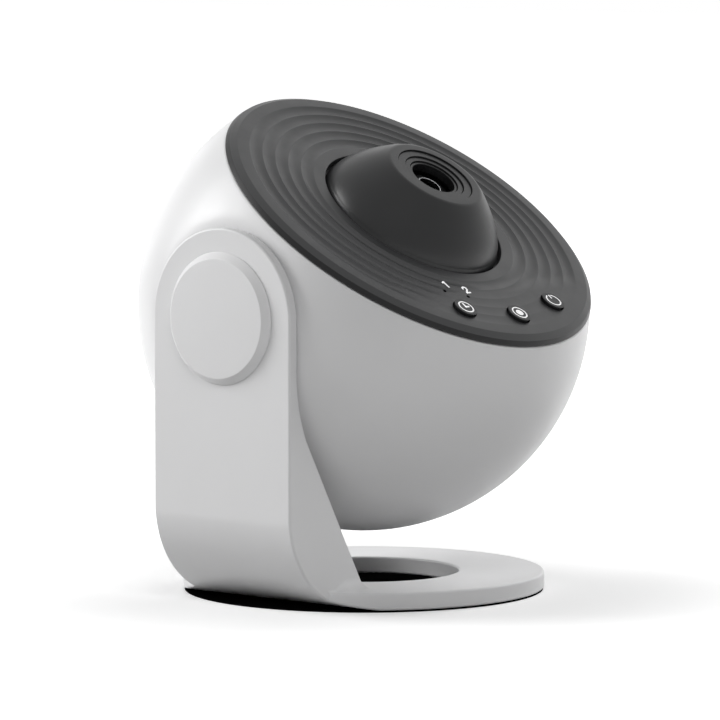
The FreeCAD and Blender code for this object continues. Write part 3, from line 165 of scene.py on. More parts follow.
def moulded(name, colour, drift, roughness, grain=3.0, grain_height=0.012, gloss=0.5, glow=0.0):
    """Moulded plastic: fine grain, slight colour drift, uneven gloss and, if asked, a painted glow."""
    material, tree, shader = new_material(name)
    place = texture_vector(tree)
    low = tuple(max(0.0, value - drift) for value in colour)
    high = tuple(value + drift for value in colour)
    down, up = SMUDGE_SPREAD
    smudge = noise(tree, place, SMUDGE_SCALE, RICH_DETAIL)
    feed(tree, shader, {
        "Base Color": colour_between(tree, noise(tree, place, DRIFT_SCALE, PLAIN_DETAIL), low, high),
        "Roughness": value_between(tree, smudge, roughness - down, roughness + up),
        "Normal": bumps(tree, noise(tree, place, grain, PLAIN_DETAIL), grain_height),
        "Specular IOR Level": gloss,
    })
    # painted light: the glow makes the surface brighter than the lamps light it
    if glow:
        feed(tree, shader, {"Emission Color": WHITE, "Emission Strength": glow})
    return material


def metal(name, colour, roughness):
    """Turned or stamped metal with fine brushing."""
    material, tree, shader = new_material(name)
    stretch = {0: texture_vector(tree), 1: BRUSH_STRETCH}
    stretched = add_node(tree, "ShaderNodeVectorMath", stretch, operation="MULTIPLY").outputs[0]
    brushing = noise(tree, stretched, BRUSH_SCALE, RICH_DETAIL)
    dark = tuple(value * BRUSH_SHADE for value in colour)
    down, up = BRUSH_SPREAD
    feed(tree, shader, {
        "Base Color": colour_between(tree, brushing, dark, colour),
        "Roughness": value_between(tree, brushing, roughness - down, roughness + up),
        "Normal": bumps(tree, brushing, BRUSH_HEIGHT),
        "Metallic": 1.0,
    })
    return material


def glass(name):
    """Coated lens glass with a faint tint."""
    material, tree, shader = new_material(name)
    drift = noise(tree, texture_vector(tree), TINT_SCALE, PLAIN_DETAIL)
    feed(tree, shader, {
        "Base Color": colour_between(tree, drift, (0.90, 0.95, 0.98), (0.96, 0.98, 1.0)),
        "Roughness": value_between(tree, drift, 0.015, 0.03),
        "Transmission Weight": 1.0,
        "IOR": 1.5,
        "Specular IOR Level": 0.12,
    })
    return material


def star_film(name):
    """Dark film with small clear specks."""
    material, tree, shader = new_material(name)
    place = texture_vector(tree)
    specks = add_node(tree, "ShaderNodeTexVoronoi", {"Vector": place, "Scale": SPECK_SCALE})
    clear = (0.85, 0.88, 0.95)
    dark = (0.01, 0.01, 0.02)
    feed(tree, shader, {
        "Base Color": colour_between(tree, specks.outputs["Distance"], clear, dark, SPECK_ENDS),
        "Roughness": value_between(tree, noise(tree, place, FILM_SCALE, FILM_DETAIL), 0.2, 0.3),
    })
    return material


GRAPHITE = (0.022, 0.0225, 0.0235)

# the finish of each material slot of the record
MATERIALS = {
    "white_plastic": moulded("white_plastic", (0.80, 0.80, 0.805), 0.006, 0.38),
    "graphite_plastic": moulded("graphite_plastic", GRAPHITE, 0.001, 0.40, grain=2.2, gloss=0.52),
    "button_plastic": moulded("button_plastic", GRAPHITE, 0.001, 0.38, grain=2.6, gloss=0.30),
    "black_plastic": moulded("black_plastic", (0.006, 0.006, 0.0065), 0.001, 0.40, gloss=0.35),
    "nylon": moulded("nylon", (0.72, 0.71, 0.66), 0.02, 0.5),
    # near black with no gloss: a real rubber pad, darkened so that its part seen through the ring's hole
    # also stands in for painted shade
    "rubber": moulded("rubber", (0.002, 0.002, 0.002), 0.0005, 0.85,
                      grain=1.6, grain_height=0.03, gloss=0.0),
    "steel": metal("steel", (0.56, 0.57, 0.58), 0.3),
    "dark_steel": metal("dark_steel", (0.26, 0.26, 0.27), 0.4),
    "alloy": metal("alloy", (0.60, 0.61, 0.63), 0.35),
    "circuit_board": moulded("circuit_board", (0.02, 0.12, 0.05), 0.006, 0.35, grain=1.0),
    "component": moulded("component", (0.03, 0.03, 0.033), 0.003, 0.45),
    "brass": metal("brass", (0.72, 0.52, 0.22), 0.28),
    "lens_glass": glass("lens_glass"),
    "film": star_film("star_film"),
    "lamp": moulded("lamp", (0.85, 0.72, 0.25), 0.02, 0.4),
    "indicator": moulded("indicator", (0.004, 0.004, 0.0045), 0.001, 0.4, gloss=0.0),
}

# finishes that only pieces of this script have
# the white print glows a little: painted light that brightens the marks
GLOWING_PRINT = moulded("white_print_painted_glow", (0.88, 0.88, 0.89), 0.01, 0.5, grain=6.0, grain_height=0.004, glow=0.35)
BRIGHT_RING = metal("bright_ring", (0.85, 0.86, 0.88), 0.18)
# a darker, less glossy graphite for the plate's sloping wall, as painted shade
PLATE_WALL_SHADE = moulded("plate_wall_painted_shade", (0.012, 0.012, 0.0125), 0.001, 0.42, grain=2.2, gloss=0.22)
SATIN = moulded("satin_graphite", (0.012, 0.0123, 0.013), 0.001, 0.33,
                grain=2.2, grain_height=0.008, gloss=0.34)


def paint_nodes():
    """Give every CAD node the material of its slot."""
    for entry in frame["record"]["subparts"]:
        mesh = frame["nodes"][entry["node"]].data
        mesh.materials.clear()
        mesh.materials.append(MATERIALS[entry["material_slot"]])


# ---------------------------------------------------------------- shapes as points

# the sharpest bend that softened() leaves alone, and the share of an edge that one rounding may take
SLIGHT_BEND = 12
ROUNDING_SHARE = 0.45


def steps_between(first, last, count):
    """The numbers from first to last in a count of equal steps, with both ends."""
    return [first + (last - first) * step / count for step in range(count + 1)]


def smooth_step(low, high, value):
    """0 below low, 1 above high, and a smooth change between them."""
    share = min(1.0, max(0.0, (value - low) / (high - low)))
    return share * share * (3 - 2 * share)


def polar(radius, degrees, height):
    """A point from its radius, angle and height."""
    angle = math.radians(degrees)
    return (radius * math.cos(angle), radius * math.sin(angle), height)


def round_about(turns):
    """The angles of a full turn in equal steps."""
    return [360 * step / turns for step in range(turns)]


def softened(points, radius, steps=5, closed=True):
    """A profile with its corners rounded, apart from slight bends, the axis and an open profile's ends."""
    corners = [Vector(point) for point in points]
    last = len(corners) - 1
    result = []
    for index, corner in enumerate(corners):
        before = corners[index - 1] - corner
        after = corners[(index + 1) % len(corners)] - corner
        bend = math.pi - before.angle(after)
        is_end = not closed and index in (0, last)
        if is_end or corner.x == 0 or bend < math.radians(SLIGHT_BEND):
            result.append(tuple(corner))
            continue
        room = min(before.length, after.length) * ROUNDING_SHARE
        reach = min(radius * math.tan(bend / 2), room)
        start = corner + before.normalized() * reach
        end = corner + after.normalized() * reach
        for share in steps_between(0, 1, steps):
            point = start * (1 - share) ** 2 + corner * 2 * share * (1 - share) + end * share ** 2
            result.append(tuple(point))
    return result


def rows_to_faces(rows, closed=True):
    """Vertices and quads from rings of equal length, the last one joined to the first if closed."""
    vertices = [point for row in rows for point in row]
    width = len(rows[0])
    faces = []
    for first in range(len(rows) if closed else len(rows) - 1):
        second = (first + 1) % len(rows)
        for left in range(width):
            right = (left + 1) % width
            faces.append((first * width + left, first * width + right,
                          second * width + right, second * width + left))
    return vertices, faces


# ---------------------------------------------------------------- pieces

# points nearer than this are one
JOIN_REACH = 0.002


def add_object(name, data):
    """A new object in the scene."""
    item = bpy.data.objects.new(name, data)
    bpy.context.scene.collection.objects.link(item)
    return item


def join_and_face_out(mesh):
    """Join the points that lie on each other, as on a lathe's axis, and turn every face to the outside."""
    shape = bmesh.new()
    shape.from_mesh(mesh)
    bmesh.ops.remove_doubles(shape, verts=shape.verts, dist=JOIN_REACH * MM)
    bmesh.ops.delete(shape, geom=[edge for edge in shape.edges if edge.is_wire], context="EDGES")
    bmesh.ops.recalc_face_normals(shape, faces=shape.faces)
    shape.to_mesh(mesh)
    shape.free()


def shade(mesh, sharp):
    """Smooth shading, with the edges sharp that bend by more than an angle."""
    mesh.shade_smooth()
    mesh.set_sharp_from_angle(angle=math.radians(sharp))


def make_piece(name, vertices, faces, material, matrix, sharp=35):
    """A mesh piece from vertices in millimetres, given in the frame of a matrix."""
    mesh = bpy.data.meshes.new(name)
    mesh.from_pydata([Vector(vertex) * MM for vertex in vertices], [], faces)
    join_and_face_out(mesh)
    mesh.transform(matrix)
    mesh.update()
    shade(mesh, sharp)
    mesh.materials.append(material)
    return add_object(name, mesh)


def lathe(name, profile, material, matrix, turns, sharp=35):
    """A piece turned about its own z axis from a closed profile."""
    rows = [[polar(radius, angle, height) for angle in round_about(turns)] for radius, height in profile]
    vertices, faces = rows_to_faces(rows)
    return make_piece(name, vertices, faces, material, matrix, sharp)


def fit(piece, body, slot, *nodes):
    """Let a piece ride on a body and stand for CAD nodes, which it hides. The slot is not used."""
    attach(piece, body)
    if nodes:
        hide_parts(*nodes)


def modify(piece, kind, **settings):
    """Give a piece a modifier with its settings, and apply it."""
    modifier = piece.modifiers.new(kind.lower(), kind)
    for setting, value in settings.items():
        setattr(modifier, setting, value)
    with bpy.context.temp_override(object=piece, active_object=piece, selected_objects=[piece]):
        bpy.ops.object.modifier_apply(modifier=modifier.name)


def cut(piece, tools):
    """Cut tools out of a piece, and remove them."""
    for tool in tools:
        modify(piece, "BOOLEAN", operation="DIFFERENCE", solver="EXACT", object=tool)
        bpy.data.objects.remove(tool)
    join_and_face_out(piece.data)


# ---------------------------------------------------------------- ball

BALL_RADIUS = 74.97
BALL_WALL = 2.4
BALL_TURNS = 360
OUTSIDE_STEPS = 180
INSIDE_STEPS = 24
REAR_OPENING = 34.0
# how far the flat behind the arm is from the centre, and how softly the ball turns into it
FLAT_DISTANCE = 67.6
FLAT_EASE = 1.2
# the rounded rims: how long they are, and how far their points lie under the surface
RIM_LENGTH = 0.5
RIM_DEPTHS = (0.15, 0.6)


def ball_point(radius, polar_angle, turn):
    """A point of the ball's wall, eased into the flat behind the arm."""
    x = radius * math.sin(polar_angle) * math.cos(turn)
    y = radius * math.sin(polar_angle) * math.sin(turn)
    z = radius * math.cos(polar_angle)
    if y < 0:
        flat = FLAT_DISTANCE - (BALL_RADIUS - radius)
        gap = flat + y
        y = 0.5 * (gap + math.sqrt(gap * gap + FLAT_EASE * FLAT_EASE)) - flat
    return (x, y, z)


def ball_profile():
    """The ball's wall as (radius, polar angle in radians): outside, rear rim, inside and front rim."""
    inner = BALL_RADIUS - BALL_WALL
    shallow, deep = [BALL_RADIUS - depth for depth in RIM_DEPTHS]
    front = math.acos(PLATE_SEAT / BALL_RADIUS)
    back = math.pi - math.asin(REAR_OPENING / BALL_RADIUS)
    inner_front = math.acos(PLATE_SEAT / inner)
    inner_back = math.pi - math.asin(REAR_OPENING / inner)
    lip = RIM_LENGTH / BALL_RADIUS
    profile = [(BALL_RADIUS, angle) for angle in steps_between(front + lip, back - lip, OUTSIDE_STEPS)]
    profile += [(shallow, back - lip / 4), (deep, back)]
    profile += [(inner, angle) for angle in steps_between(inner_back, inner_front, INSIDE_STEPS)]
    profile += [(deep, math.acos(PLATE_SEAT / deep)), (shallow, front + lip / 4)]
    return profile


def ball_shell():
    """The white ball with thin rounded rims, round openings at front and back, and a flat at the arm."""
    turns = [math.radians(angle) for angle in round_about(BALL_TURNS)]
    rows = [[ball_point(radius, angle, turn) for turn in turns] for radius, angle in ball_profile()]
    vertices, faces = rows_to_faces(rows)
    piece = make_piece("ball_shell", vertices, faces, MATERIALS["white_plastic"], HEAD, sharp=40)
    fit(piece, "head", "white_plastic", "head_shell")


# ---------------------------------------------------------------- front plate

PLATE_TURNS = 450
PLATE_SHARP = 32
PLATE_UNDERSIDE = [(32.1, 35.1), (61.8, 35.1), (61.8, 30.6), (63.6, 30.6), (63.6, PLATE_SEAT),
                   (65.8, PLATE_SEAT)]
FIELD_OUTER = 60.0
FIELD_INNER = 32.5
FIELD_SAMPLES = 180
PLATE_RIM = [(66.2, 34.25), (67.0, 34.4), (66.0, 36.15), (63.9, 37.4), (FIELD_OUTER, PLATE_TOP)]
PLATE_RIM_ROUNDING = 0.4
PLATE_MOUTH = [(32.2, PLATE_TOP - 0.1), (32.1, PLATE_TOP - 0.3)]

RIPPLE_START = 36.4
RIPPLE_WIDTH = 4.65
RIPPLE_COUNT = 5
RIPPLE_DEPTH = 0.7
RIPPLE_EDGE = 0.08
# the ripples die away between two distances along x, which both grow by a shift towards the power
# button's side, within CALM_TURN on either side of the x axis
CALM_START = 30.0
CALM_START_SHIFT = 6.0
CALM_END = 43.0
CALM_END_SHIFT = 0.5
CALM_TURN = 25.0
CALM_SHARE = 0.88

# the sloping wall is painted darker than the plate: painted shade
WALL_RADIUS = 64.5
WALL_LOW = 34.22
WALL_HIGH = 36.1

DRILL_LEVEL = 36.0
DRILL_REACH = 4.0
DRILL_TURNS = 72
BUTTON_HOLE = 4.3
LIGHT_HOLE = 0.65
LIGHT_CIRCLE = 45.85
LIGHT_SPREAD = 5.6


def ripple_depth(radius, degrees):
    """How far the plate's scalloped top lies under its plain level."""
    share = (radius - RIPPLE_START) / RIPPLE_WIDTH
    if share <= 0 or share >= RIPPLE_COUNT:
        return 0.0
    part = share - math.floor(share)
    scallop = 4 * part * (1 - part)
    soft = math.hypot(scallop, RIPPLE_EDGE) - RIPPLE_EDGE
    deepest = math.hypot(1, RIPPLE_EDGE) - RIPPLE_EDGE
    side = smooth_step(-CALM_TURN, CALM_TURN, (degrees + 180) % 360 - 180)
    start = CALM_START + CALM_START_SHIFT * side
    end = CALM_END + CALM_END_SHIFT * side
    calm = smooth_step(start, end, radius * math.cos(math.radians(degrees)))
    return RIPPLE_DEPTH * soft / deepest * (1 - CALM_SHARE * calm)


def plate_rows():
    """The plate's rows of points: underside, rim, rippled field and mouth."""
    angles = round_about(PLATE_TURNS)
    outside = PLATE_UNDERSIDE + softened(PLATE_RIM, PLATE_RIM_ROUNDING, closed=False)
    rows = [[polar(radius, angle, height) for angle in angles] for radius, height in outside]
    for radius in steps_between(FIELD_OUTER, FIELD_INNER, FIELD_SAMPLES)[1:]:
        rows.append([polar(radius, angle, PLATE_TOP - ripple_depth(radius, angle)) for angle in angles])
    rows += [[polar(radius, angle, height) for angle in angles] for radius, height in PLATE_MOUTH]
    return rows


def drill(name, radius, circle, degrees):
    """A round cutting tool through the plate, along the head's axis."""
    centre = Vector(polar(circle, degrees, DRILL_LEVEL)) * MM
    profile = [(0.0, -DRILL_REACH), (radius, -DRILL_REACH), (radius, DRILL_REACH), (0.0, DRILL_REACH)]
    matrix = HEAD @ Matrix.Translation(centre)
    return lathe(name, profile, MATERIALS["graphite_plastic"], matrix, DRILL_TURNS)


def paint_plate_wall_shade(mesh):
    """Painted shade on the plate's sloping wall: a darker second material."""
    mesh.materials.append(PLATE_WALL_SHADE)
    to_head = HEAD.inverted()
    for face in mesh.polygons:
        x, y, height = (to_head @ face.center) / MM
        if math.hypot(x, y) > WALL_RADIUS and WALL_LOW < height < WALL_HIGH:
            face.material_index = 1


def front_plate():
    """The dark plate with ripples that die away around the controls, and the holes for these."""
    vertices, faces = rows_to_faces(plate_rows())
    piece = make_piece("plate", vertices, faces, MATERIALS["graphite_plastic"], HEAD)
    tools = [drill("button_hole", BUTTON_HOLE, BUTTON_CIRCLE, angle) for angle in BUTTON_ANGLES.values()]
    for turn in (-LIGHT_SPREAD, LIGHT_SPREAD):
        tools.append(drill("light_hole", LIGHT_HOLE, LIGHT_CIRCLE, BUTTON_ANGLES["timer"] + turn))
    cut(piece, tools)
    paint_plate_wall_shade(piece.data)
    shade(piece.data, PLATE_SHARP)
    fit(piece, "head", "graphite_plastic", "front_plate")


# ---------------------------------------------------------------- lens dome

DOME_TOP = 53.8
DOME_TURNS = 288
# the bell's side: its radius at the foot shrinks by a power of the height's share
BELL_FOOT = (30.6, 37.5)
BELL_NARROWING = 13.6
BELL_POWER = 1.43
BELL_RISE = 16.3
BELL_SHARE = 0.9
BELL_STEPS = 24
SHOULDER = [(16.7, DOME_TOP), (13.9, DOME_TOP)]
SHOULDER_ROUNDING = 2.4
SHOULDER_STEPS = 7
# the fine steps: each radius has a groove behind a broken edge, as (radius, height) from its corner
STEP_RADII = (13.5, 10.7, 8.75)
STEP_DROP = 0.5
STEP_FORM = [(0.06, 0.0), (0.0, -0.06), (0.0, -1.5), (-0.26, -1.5), (-0.28, -STEP_DROP)]
DOME_LIP = [(7.78, DOME_TOP - 1.5), (7.7, DOME_TOP - 1.58)]
DOME_INSIDE = [(7.7, 49.6), (12.1, 49.6), (12.1, 32.0), (14.2, 32.0), (14.2, 48.6), (17.2, 48.6),
               (22.0, 46.0), (26.0, 42.0), (28.3, 37.6), (28.6, 33.1)]
DOME_FLANGE = [(33.8, 33.1), (33.8, 34.7), (31.4, 34.7), (31.35, 36.2), (31.0, 36.95)]


def dome():
    """The focus dome: a soft bell with three fine steps around its opening."""
    foot, base = BELL_FOOT
    bell = [(foot - BELL_NARROWING * share ** BELL_POWER, base + BELL_RISE * share)
            for share in steps_between(0, BELL_SHARE, BELL_STEPS)]
    shoulder = softened(bell[-1:] + SHOULDER, SHOULDER_ROUNDING, SHOULDER_STEPS, closed=False)[1:-1]
    steps = []
    for index, radius in enumerate(STEP_RADII):
        level = DOME_TOP - STEP_DROP * index
        steps += [(radius + across, level + up) for across, up in STEP_FORM]
    profile = bell + shoulder + steps + DOME_LIP + DOME_INSIDE + DOME_FLANGE
    piece = lathe("dome", profile, SATIN, HEAD, DOME_TURNS, sharp=38)
    fit(piece, "focus_dome", "graphite_plastic", "lens_dome")


# ---------------------------------------------------------------- baffle and bright ring

LENS_TURNS = 160
BAFFLE_FOOT = [(7.7, 44.3), (8.95, 44.3), (8.95, 47.3), (7.3, 47.3), (7.2, 48.1)]
BAFFLE_MOUTH = [(4.16, 48.9), (4.12, 49.3), (4.0, 49.3), (4.0, 48.2), (6.4, 46.2), (7.7, 46.2)]
# the ridges rise towards the mouth, each with the same form, as (radius, height) from its corner
RIDGE_RADII = (6.9, 6.2, 5.5, 4.8)
RIDGE_LEVEL = 48.3
RIDGE_RISE = 0.25
RIDGE_FORM = [(0.0, 0.0), (-0.1, 0.15), (-0.28, 0.15), (-0.32, -0.3), (-0.6, -0.3)]
RING_SECTION = [(3.72, 49.1), (4.08, 49.1), (4.08, 49.5), (3.72, 49.5)]
RING_ROUNDING = 0.08


def lens_details():
    """The stepped dark baffle over the front lens and the thin bright ring at its mouth."""
    ridges = []
    for index, radius in enumerate(RIDGE_RADII):
        level = RIDGE_LEVEL + RIDGE_RISE * index
        ridges += [(radius + across, level + up) for across, up in RIDGE_FORM]
    baffle = lathe("front_baffle", BAFFLE_FOOT + ridges + BAFFLE_MOUTH, SATIN, HEAD, LENS_TURNS)
    fit(baffle, "lens_carriage", "black_plastic", "front_retainer")
    ring = lathe("bright_ring", softened(RING_SECTION, RING_ROUNDING), BRIGHT_RING, HEAD, LENS_TURNS)
    fit(ring, "lens_carriage", "alloy")


# ---------------------------------------------------------------- buttons

BUTTON_TOP = PLATE_TOP + 1.0
BUTTON_TURNS = 96
BUTTON_STEM = [(0.0, 31.3), (1.4, 31.3), (1.4, 33.4), (5.2, 33.4), (5.2, 34.8), (3.7, 34.8)]
# the neck, the lip and the dished top, as (radius, height) from the top
BUTTON_FACE = [(3.7, -0.34), (4.1, -0.3), (4.14, -0.1), (4.1, -0.03), (4.0, 0.0),
               (3.4, -0.02), (2.0, -0.06), (0.0, -0.08)]


def button_matrix(name):
    """The frame of a button: on its own axis, with x away from the optical axis."""
    turn = Matrix.Rotation(math.radians(BUTTON_ANGLES[name]), 4, "Z")
    return HEAD @ turn @ Matrix.Translation((BUTTON_CIRCLE * MM, 0, 0))


def button_cap(name):
    """One cap with a soft edge and a faint dish."""
    profile = BUTTON_STEM + [(radius, BUTTON_TOP + up) for radius, up in BUTTON_FACE]
    piece = lathe(f"{name}_cap", profile, MATERIALS["button_plastic"], button_matrix(name), BUTTON_TURNS)
    fit(piece, f"{name}_cap", "button_plastic", f"{name}_button")


# ---------------------------------------------------------------- prints

PRINT_THICKNESS = 0.05
# points that agree to this many digits of a millimetre are one
MATCH_DIGITS = 4
# the marks start in the dish of the cap, a little under its top
MARK_LEVEL = BUTTON_TOP - 0.07
MARK_RING = 2.35
MARK_LINE = 0.5
HAND_LINE = 0.7
DOT_RADIUS = 1.4
# the power mark's ring is open at its stroke
POWER_ARC = (198, 522)
# where the numbers stand on the plate, as (radius, angle)
NUMBER_ONE_PLACE = (41.6, -29.2)
NUMBER_TWO_PLACE = (42.2, -18.8)
# the figure two: the bow's centre, half height, half width and angles, and the level of its foot
BOW_CENTRE = -0.75
BOW_HIGH = 0.84
BOW_WIDE = 0.88
BOW_ANGLES = (200, -35)
BOW_STEPS = 12
FIGURE_FOOT = 1.35
TWO_LINE = 0.65


def bar(x0, y0, x1, y1, width):
    """The outline of a straight bar."""
    along = Vector((x1 - x0, y1 - y0)).normalized() * width / 2
    side = Vector((-along.y, along.x))
    return [(x0 - side.x, y0 - side.y), (x1 - side.x, y1 - side.y),
            (x1 + side.x, y1 + side.y), (x0 + side.x, y0 + side.y)]


def flat_point(radius, degrees):
    """A flat point from its radius and angle."""
    return polar(radius, degrees, 0.0)[:2]


def disc(radius, steps=40):
    """The outline of a full disc."""
    return [flat_point(radius, angle) for angle in round_about(steps)]


def mark_arc(start, end, steps=48):
    """The outlines of a mark's ring, or of part of one, as short quads."""
    angles = steps_between(start, end, steps)
    outer = MARK_RING + MARK_LINE
    return [[flat_point(MARK_RING, first), flat_point(outer, first),
             flat_point(outer, second), flat_point(MARK_RING, second)]
            for first, second in zip(angles, angles[1:])]


def figure_one():
    """The outlines of a plain figure one, with its top towards -x."""
    return [bar(1.6, 0.15, -1.6, 0.15, 0.7), bar(-1.55, 0.3, -0.85, -0.9, 0.6)]


def figure_two():
    """The outlines of a plain figure two, with its top towards -x."""
    curve = []
    for degrees in steps_between(*BOW_ANGLES, BOW_STEPS):
        angle = math.radians(degrees)
        curve.append((BOW_CENTRE - BOW_HIGH * math.sin(angle), BOW_WIDE * math.cos(angle)))
    curve.append((FIGURE_FOOT, -0.9))
    strokes = [bar(*start, *end, TWO_LINE) for start, end in zip(curve, curve[1:])]
    return strokes + [bar(FIGURE_FOOT, -1.15, FIGURE_FOOT, 1.05, TWO_LINE)]


def flat_print(name, outlines, matrix, body, height):
    """Thin raised print from flat outlines of (x, y) points, with no wall where two outlines touch."""
    places = {}
    rings = []
    for outline in outlines:
        points = [(round(x, MATCH_DIGITS), round(y, MATCH_DIGITS)) for x, y in outline]
        rings.append([places.setdefault(point, len(places)) for point in points])
    count = len(places)
    vertices = [(x, y, height + rise) for rise in (0.0, PRINT_THICKNESS) for x, y in places]
    faces = [ring[::-1] for ring in rings] + [[count + place for place in ring] for ring in rings]
    edges = [(ring[i - 1], ring[i]) for ring in rings for i in range(len(ring))]
    all_edges = set(edges)
    faces += [(first, second, count + second, count + first) for first, second in edges
              if (second, first) not in all_edges]
    piece = make_piece(name, vertices, faces, GLOWING_PRINT, matrix, sharp=20)
    fit(piece, body, "indicator")


def prints():
    """Plain generic marks on the caps and two timer numbers on the plate."""
    ring = mark_arc(0, 360)
    marks = {
        "timer": ring + [bar(0.34, 0, -1.9, 0, HAND_LINE), bar(0, -0.35, 0, 1.6, HAND_LINE)],
        "mode": ring + [disc(DOT_RADIUS)],
        "power": mark_arc(*POWER_ARC) + [bar(-0.9, 0, -2.7, 0, MARK_LINE)],
    }
    for name, outlines in marks.items():
        upright = Matrix.Rotation(-math.radians(BUTTON_ANGLES[name]), 4, "Z")
        flat_print(f"{name}_mark", outlines, button_matrix(name) @ upright, f"{name}_cap", MARK_LEVEL)
    numbers = {
        "number_one": (figure_one(), NUMBER_ONE_PLACE),
        "number_two": (figure_two(), NUMBER_TWO_PLACE),
    }
    for name, (outlines, (radius, angle)) in numbers.items():
        place = HEAD @ Matrix.Translation(Vector(polar(radius, angle, 0.0)) * MM)
        flat_print(name, outlines, place, "head", PLATE_TOP)


# ---------------------------------------------------------------- stand

EDGE_ROUNDING = 0.8
EDGE_SEGMENTS = 3
EDGE_ANGLE = 38
STAND_SHARP = 30
WELD_REACH = 0.02
FLAT_ANGLE = 0.6
NORMAL_WEIGHT = 80


def stand_form():
    """The white stand: a copy of its CAD node with the edges rounded."""
    piece = add_object("stand_form", frame["nodes"]["stand_shell"].data.copy())
    modify(piece, "WELD", merge_threshold=WELD_REACH * MM)
    modify(piece, "DECIMATE", decimate_type="DISSOLVE", angle_limit=math.radians(FLAT_ANGLE))
    modify(piece, "BEVEL", width=EDGE_ROUNDING * MM, segments=EDGE_SEGMENTS, limit_method="ANGLE",
           angle_limit=math.radians(EDGE_ANGLE), use_clamp_overlap=False)
    shade(piece.data, STAND_SHARP)
    modify(piece, "WEIGHTED_NORMAL", keep_sharp=True, weight=NORMAL_WEIGHT)
    fit(piece, "stand", "white_plastic", "stand_shell")


# ---------------------------------------------------------------- foot of the arm

RING_TOP = 6.3
ARM_HALF_WIDTH = 29.1
FOOT_CORNER = 0.8
# the curve starts small near the ring's rim, is full from FOOT_FULL on, and ends round the slope's edge
FOOT_START = -51.3
FOOT_FULL = -44.0
FOOT_EDGE = -34.6
FOOT_LEAST = 0.04
# its radius beside the walls, and how much less it is on the slope
FOOT_RADIUS = 3.6
FOOT_RADIUS_LESS = 0.9
FOOT_STEPS = 12
WALL_STATIONS = 24
CORNER_STATIONS = 12
# how far it sinks into the arm and the ring, and how far its edge is tucked in below
FOOT_SINK = 0.6
FOOT_TUCK = 0.05
# the slope leans back by 28.3 mm on a height of 49.7 mm
SLOPE_LEAN = 28.3 / 49.7


def foot_path():
    """Stations round the arm's foot: corner centre, direction, size and share of the slope's lean."""
    side = ARM_HALF_WIDTH - FOOT_CORNER
    edge = FOOT_EDGE - FOOT_CORNER
    stations = []
    for share in steps_between(0, 1, WALL_STATIONS):
        y = FOOT_START + (edge - FOOT_START) * share
        size = FOOT_LEAST + (1 - FOOT_LEAST) * smooth_step(FOOT_START, FOOT_FULL, y)
        stations.append((side, y, 0.0, size, share))
    stations += [(side, edge, angle, 1.0, 1.0) for angle in steps_between(0, 90, CORNER_STATIONS)[1:]]
    mirrored = [(-x, y, 180 - angle, size, lean) for x, y, angle, size, lean in reversed(stations)]
    return stations + mirrored


def foot_section(radius, slope):
    """One section of the hollow curve, as (distance from the wall, height), between a wall and the ring."""
    turn = math.pi / 2 - math.atan(slope)
    section = []
    for part in steps_between(0, turn, FOOT_STEPS):
        height = radius * (1 - math.cos(part))
        section.append((radius * (math.tan(turn / 2) - math.sin(part)) + slope * height, height))
    return section + [(-FOOT_SINK, section[-1][1]), (-FOOT_SINK, -FOOT_SINK),
                      (section[0][0] - FOOT_TUCK, -FOOT_SINK)]


def foot_blend():
    """The hollow curve round the arm's foot, from its walls to the top of the base ring."""
    rows = []
    for x, y, degrees, size, lean in foot_path():
        across = math.cos(math.radians(degrees))
        back = math.sin(math.radians(degrees))
        section = foot_section(size * (FOOT_RADIUS - FOOT_RADIUS_LESS * back), SLOPE_LEAN * back)
        rows.append([(x + (FOOT_CORNER + out) * across,
                      y + (FOOT_CORNER + out) * back - SLOPE_LEAN * lean * height,
                      RING_TOP + height) for out, height in section])
    vertices, faces = rows_to_faces(rows, closed=False)
    count = len(rows[0])
    total = len(vertices)
    faces += [range(count - 1, -1, -1), range(total - count, total)]
    piece = make_piece("foot_blend", vertices, faces, MATERIALS["white_plastic"], STAND)
    fit(piece, "stand", "white_plastic")


# ---------------------------------------------------------------- pivot cap and pad

STAND_TURNS = 240
CAP_PROFILE = [(17.3, 70.2), (18.4, 70.2), (18.4, 71.8), (21.9, 71.8), (19.3, 74.38), (0.0, 74.38),
               (0.0, 73.2), (17.3, 73.2)]
CAP_ROUNDING = 0.45
PAD_PROFILE = [(0.0, 0.0), (59.7, 0.0), (59.7, 0.6), (0.0, 0.6)]
PAD_ROUNDING = 0.15


def pivot_cap():
    """The bevelled white cap over the pivot."""
    profile = softened(CAP_PROFILE, CAP_ROUNDING)
    piece = lathe("pivot_cap_form", profile, MATERIALS["white_plastic"], PIVOT, STAND_TURNS)
    fit(piece, "stand", "white_plastic", "pivot_cap")


def pad():
    """The thin rubber pad under the stand, a full disc whose middle, seen through the ring's hole, also
    serves as painted shade.
    """
    piece = lathe("pad", softened(PAD_PROFILE, PAD_ROUNDING), MATERIALS["rubber"], STAND, STAND_TURNS)
    fit(piece, "stand", "rubber", "rubber_pad")


# ---------------------------------------------------------------- studio, in metres

WORLD_LIGHT = 0.01
FLOOR_SIZE = 12
FLOOR_ROUGHNESS = 0.9
FLOOR_GLOSS = 0.1
# the floor's colour where it is seen, and for the light that it gives back to the object
FLOOR_SEEN = (0.86, 0.86, 0.86, 1)
FLOOR_BOUNCE = (0.6, 0.6, 0.6, 1)
# the glow of the floor where it is seen, which rises over this span of distances from the origin
FLOOR_GLOW = (0.25, 1.0)
GLOW_SPAN = (0.065, 0.22)

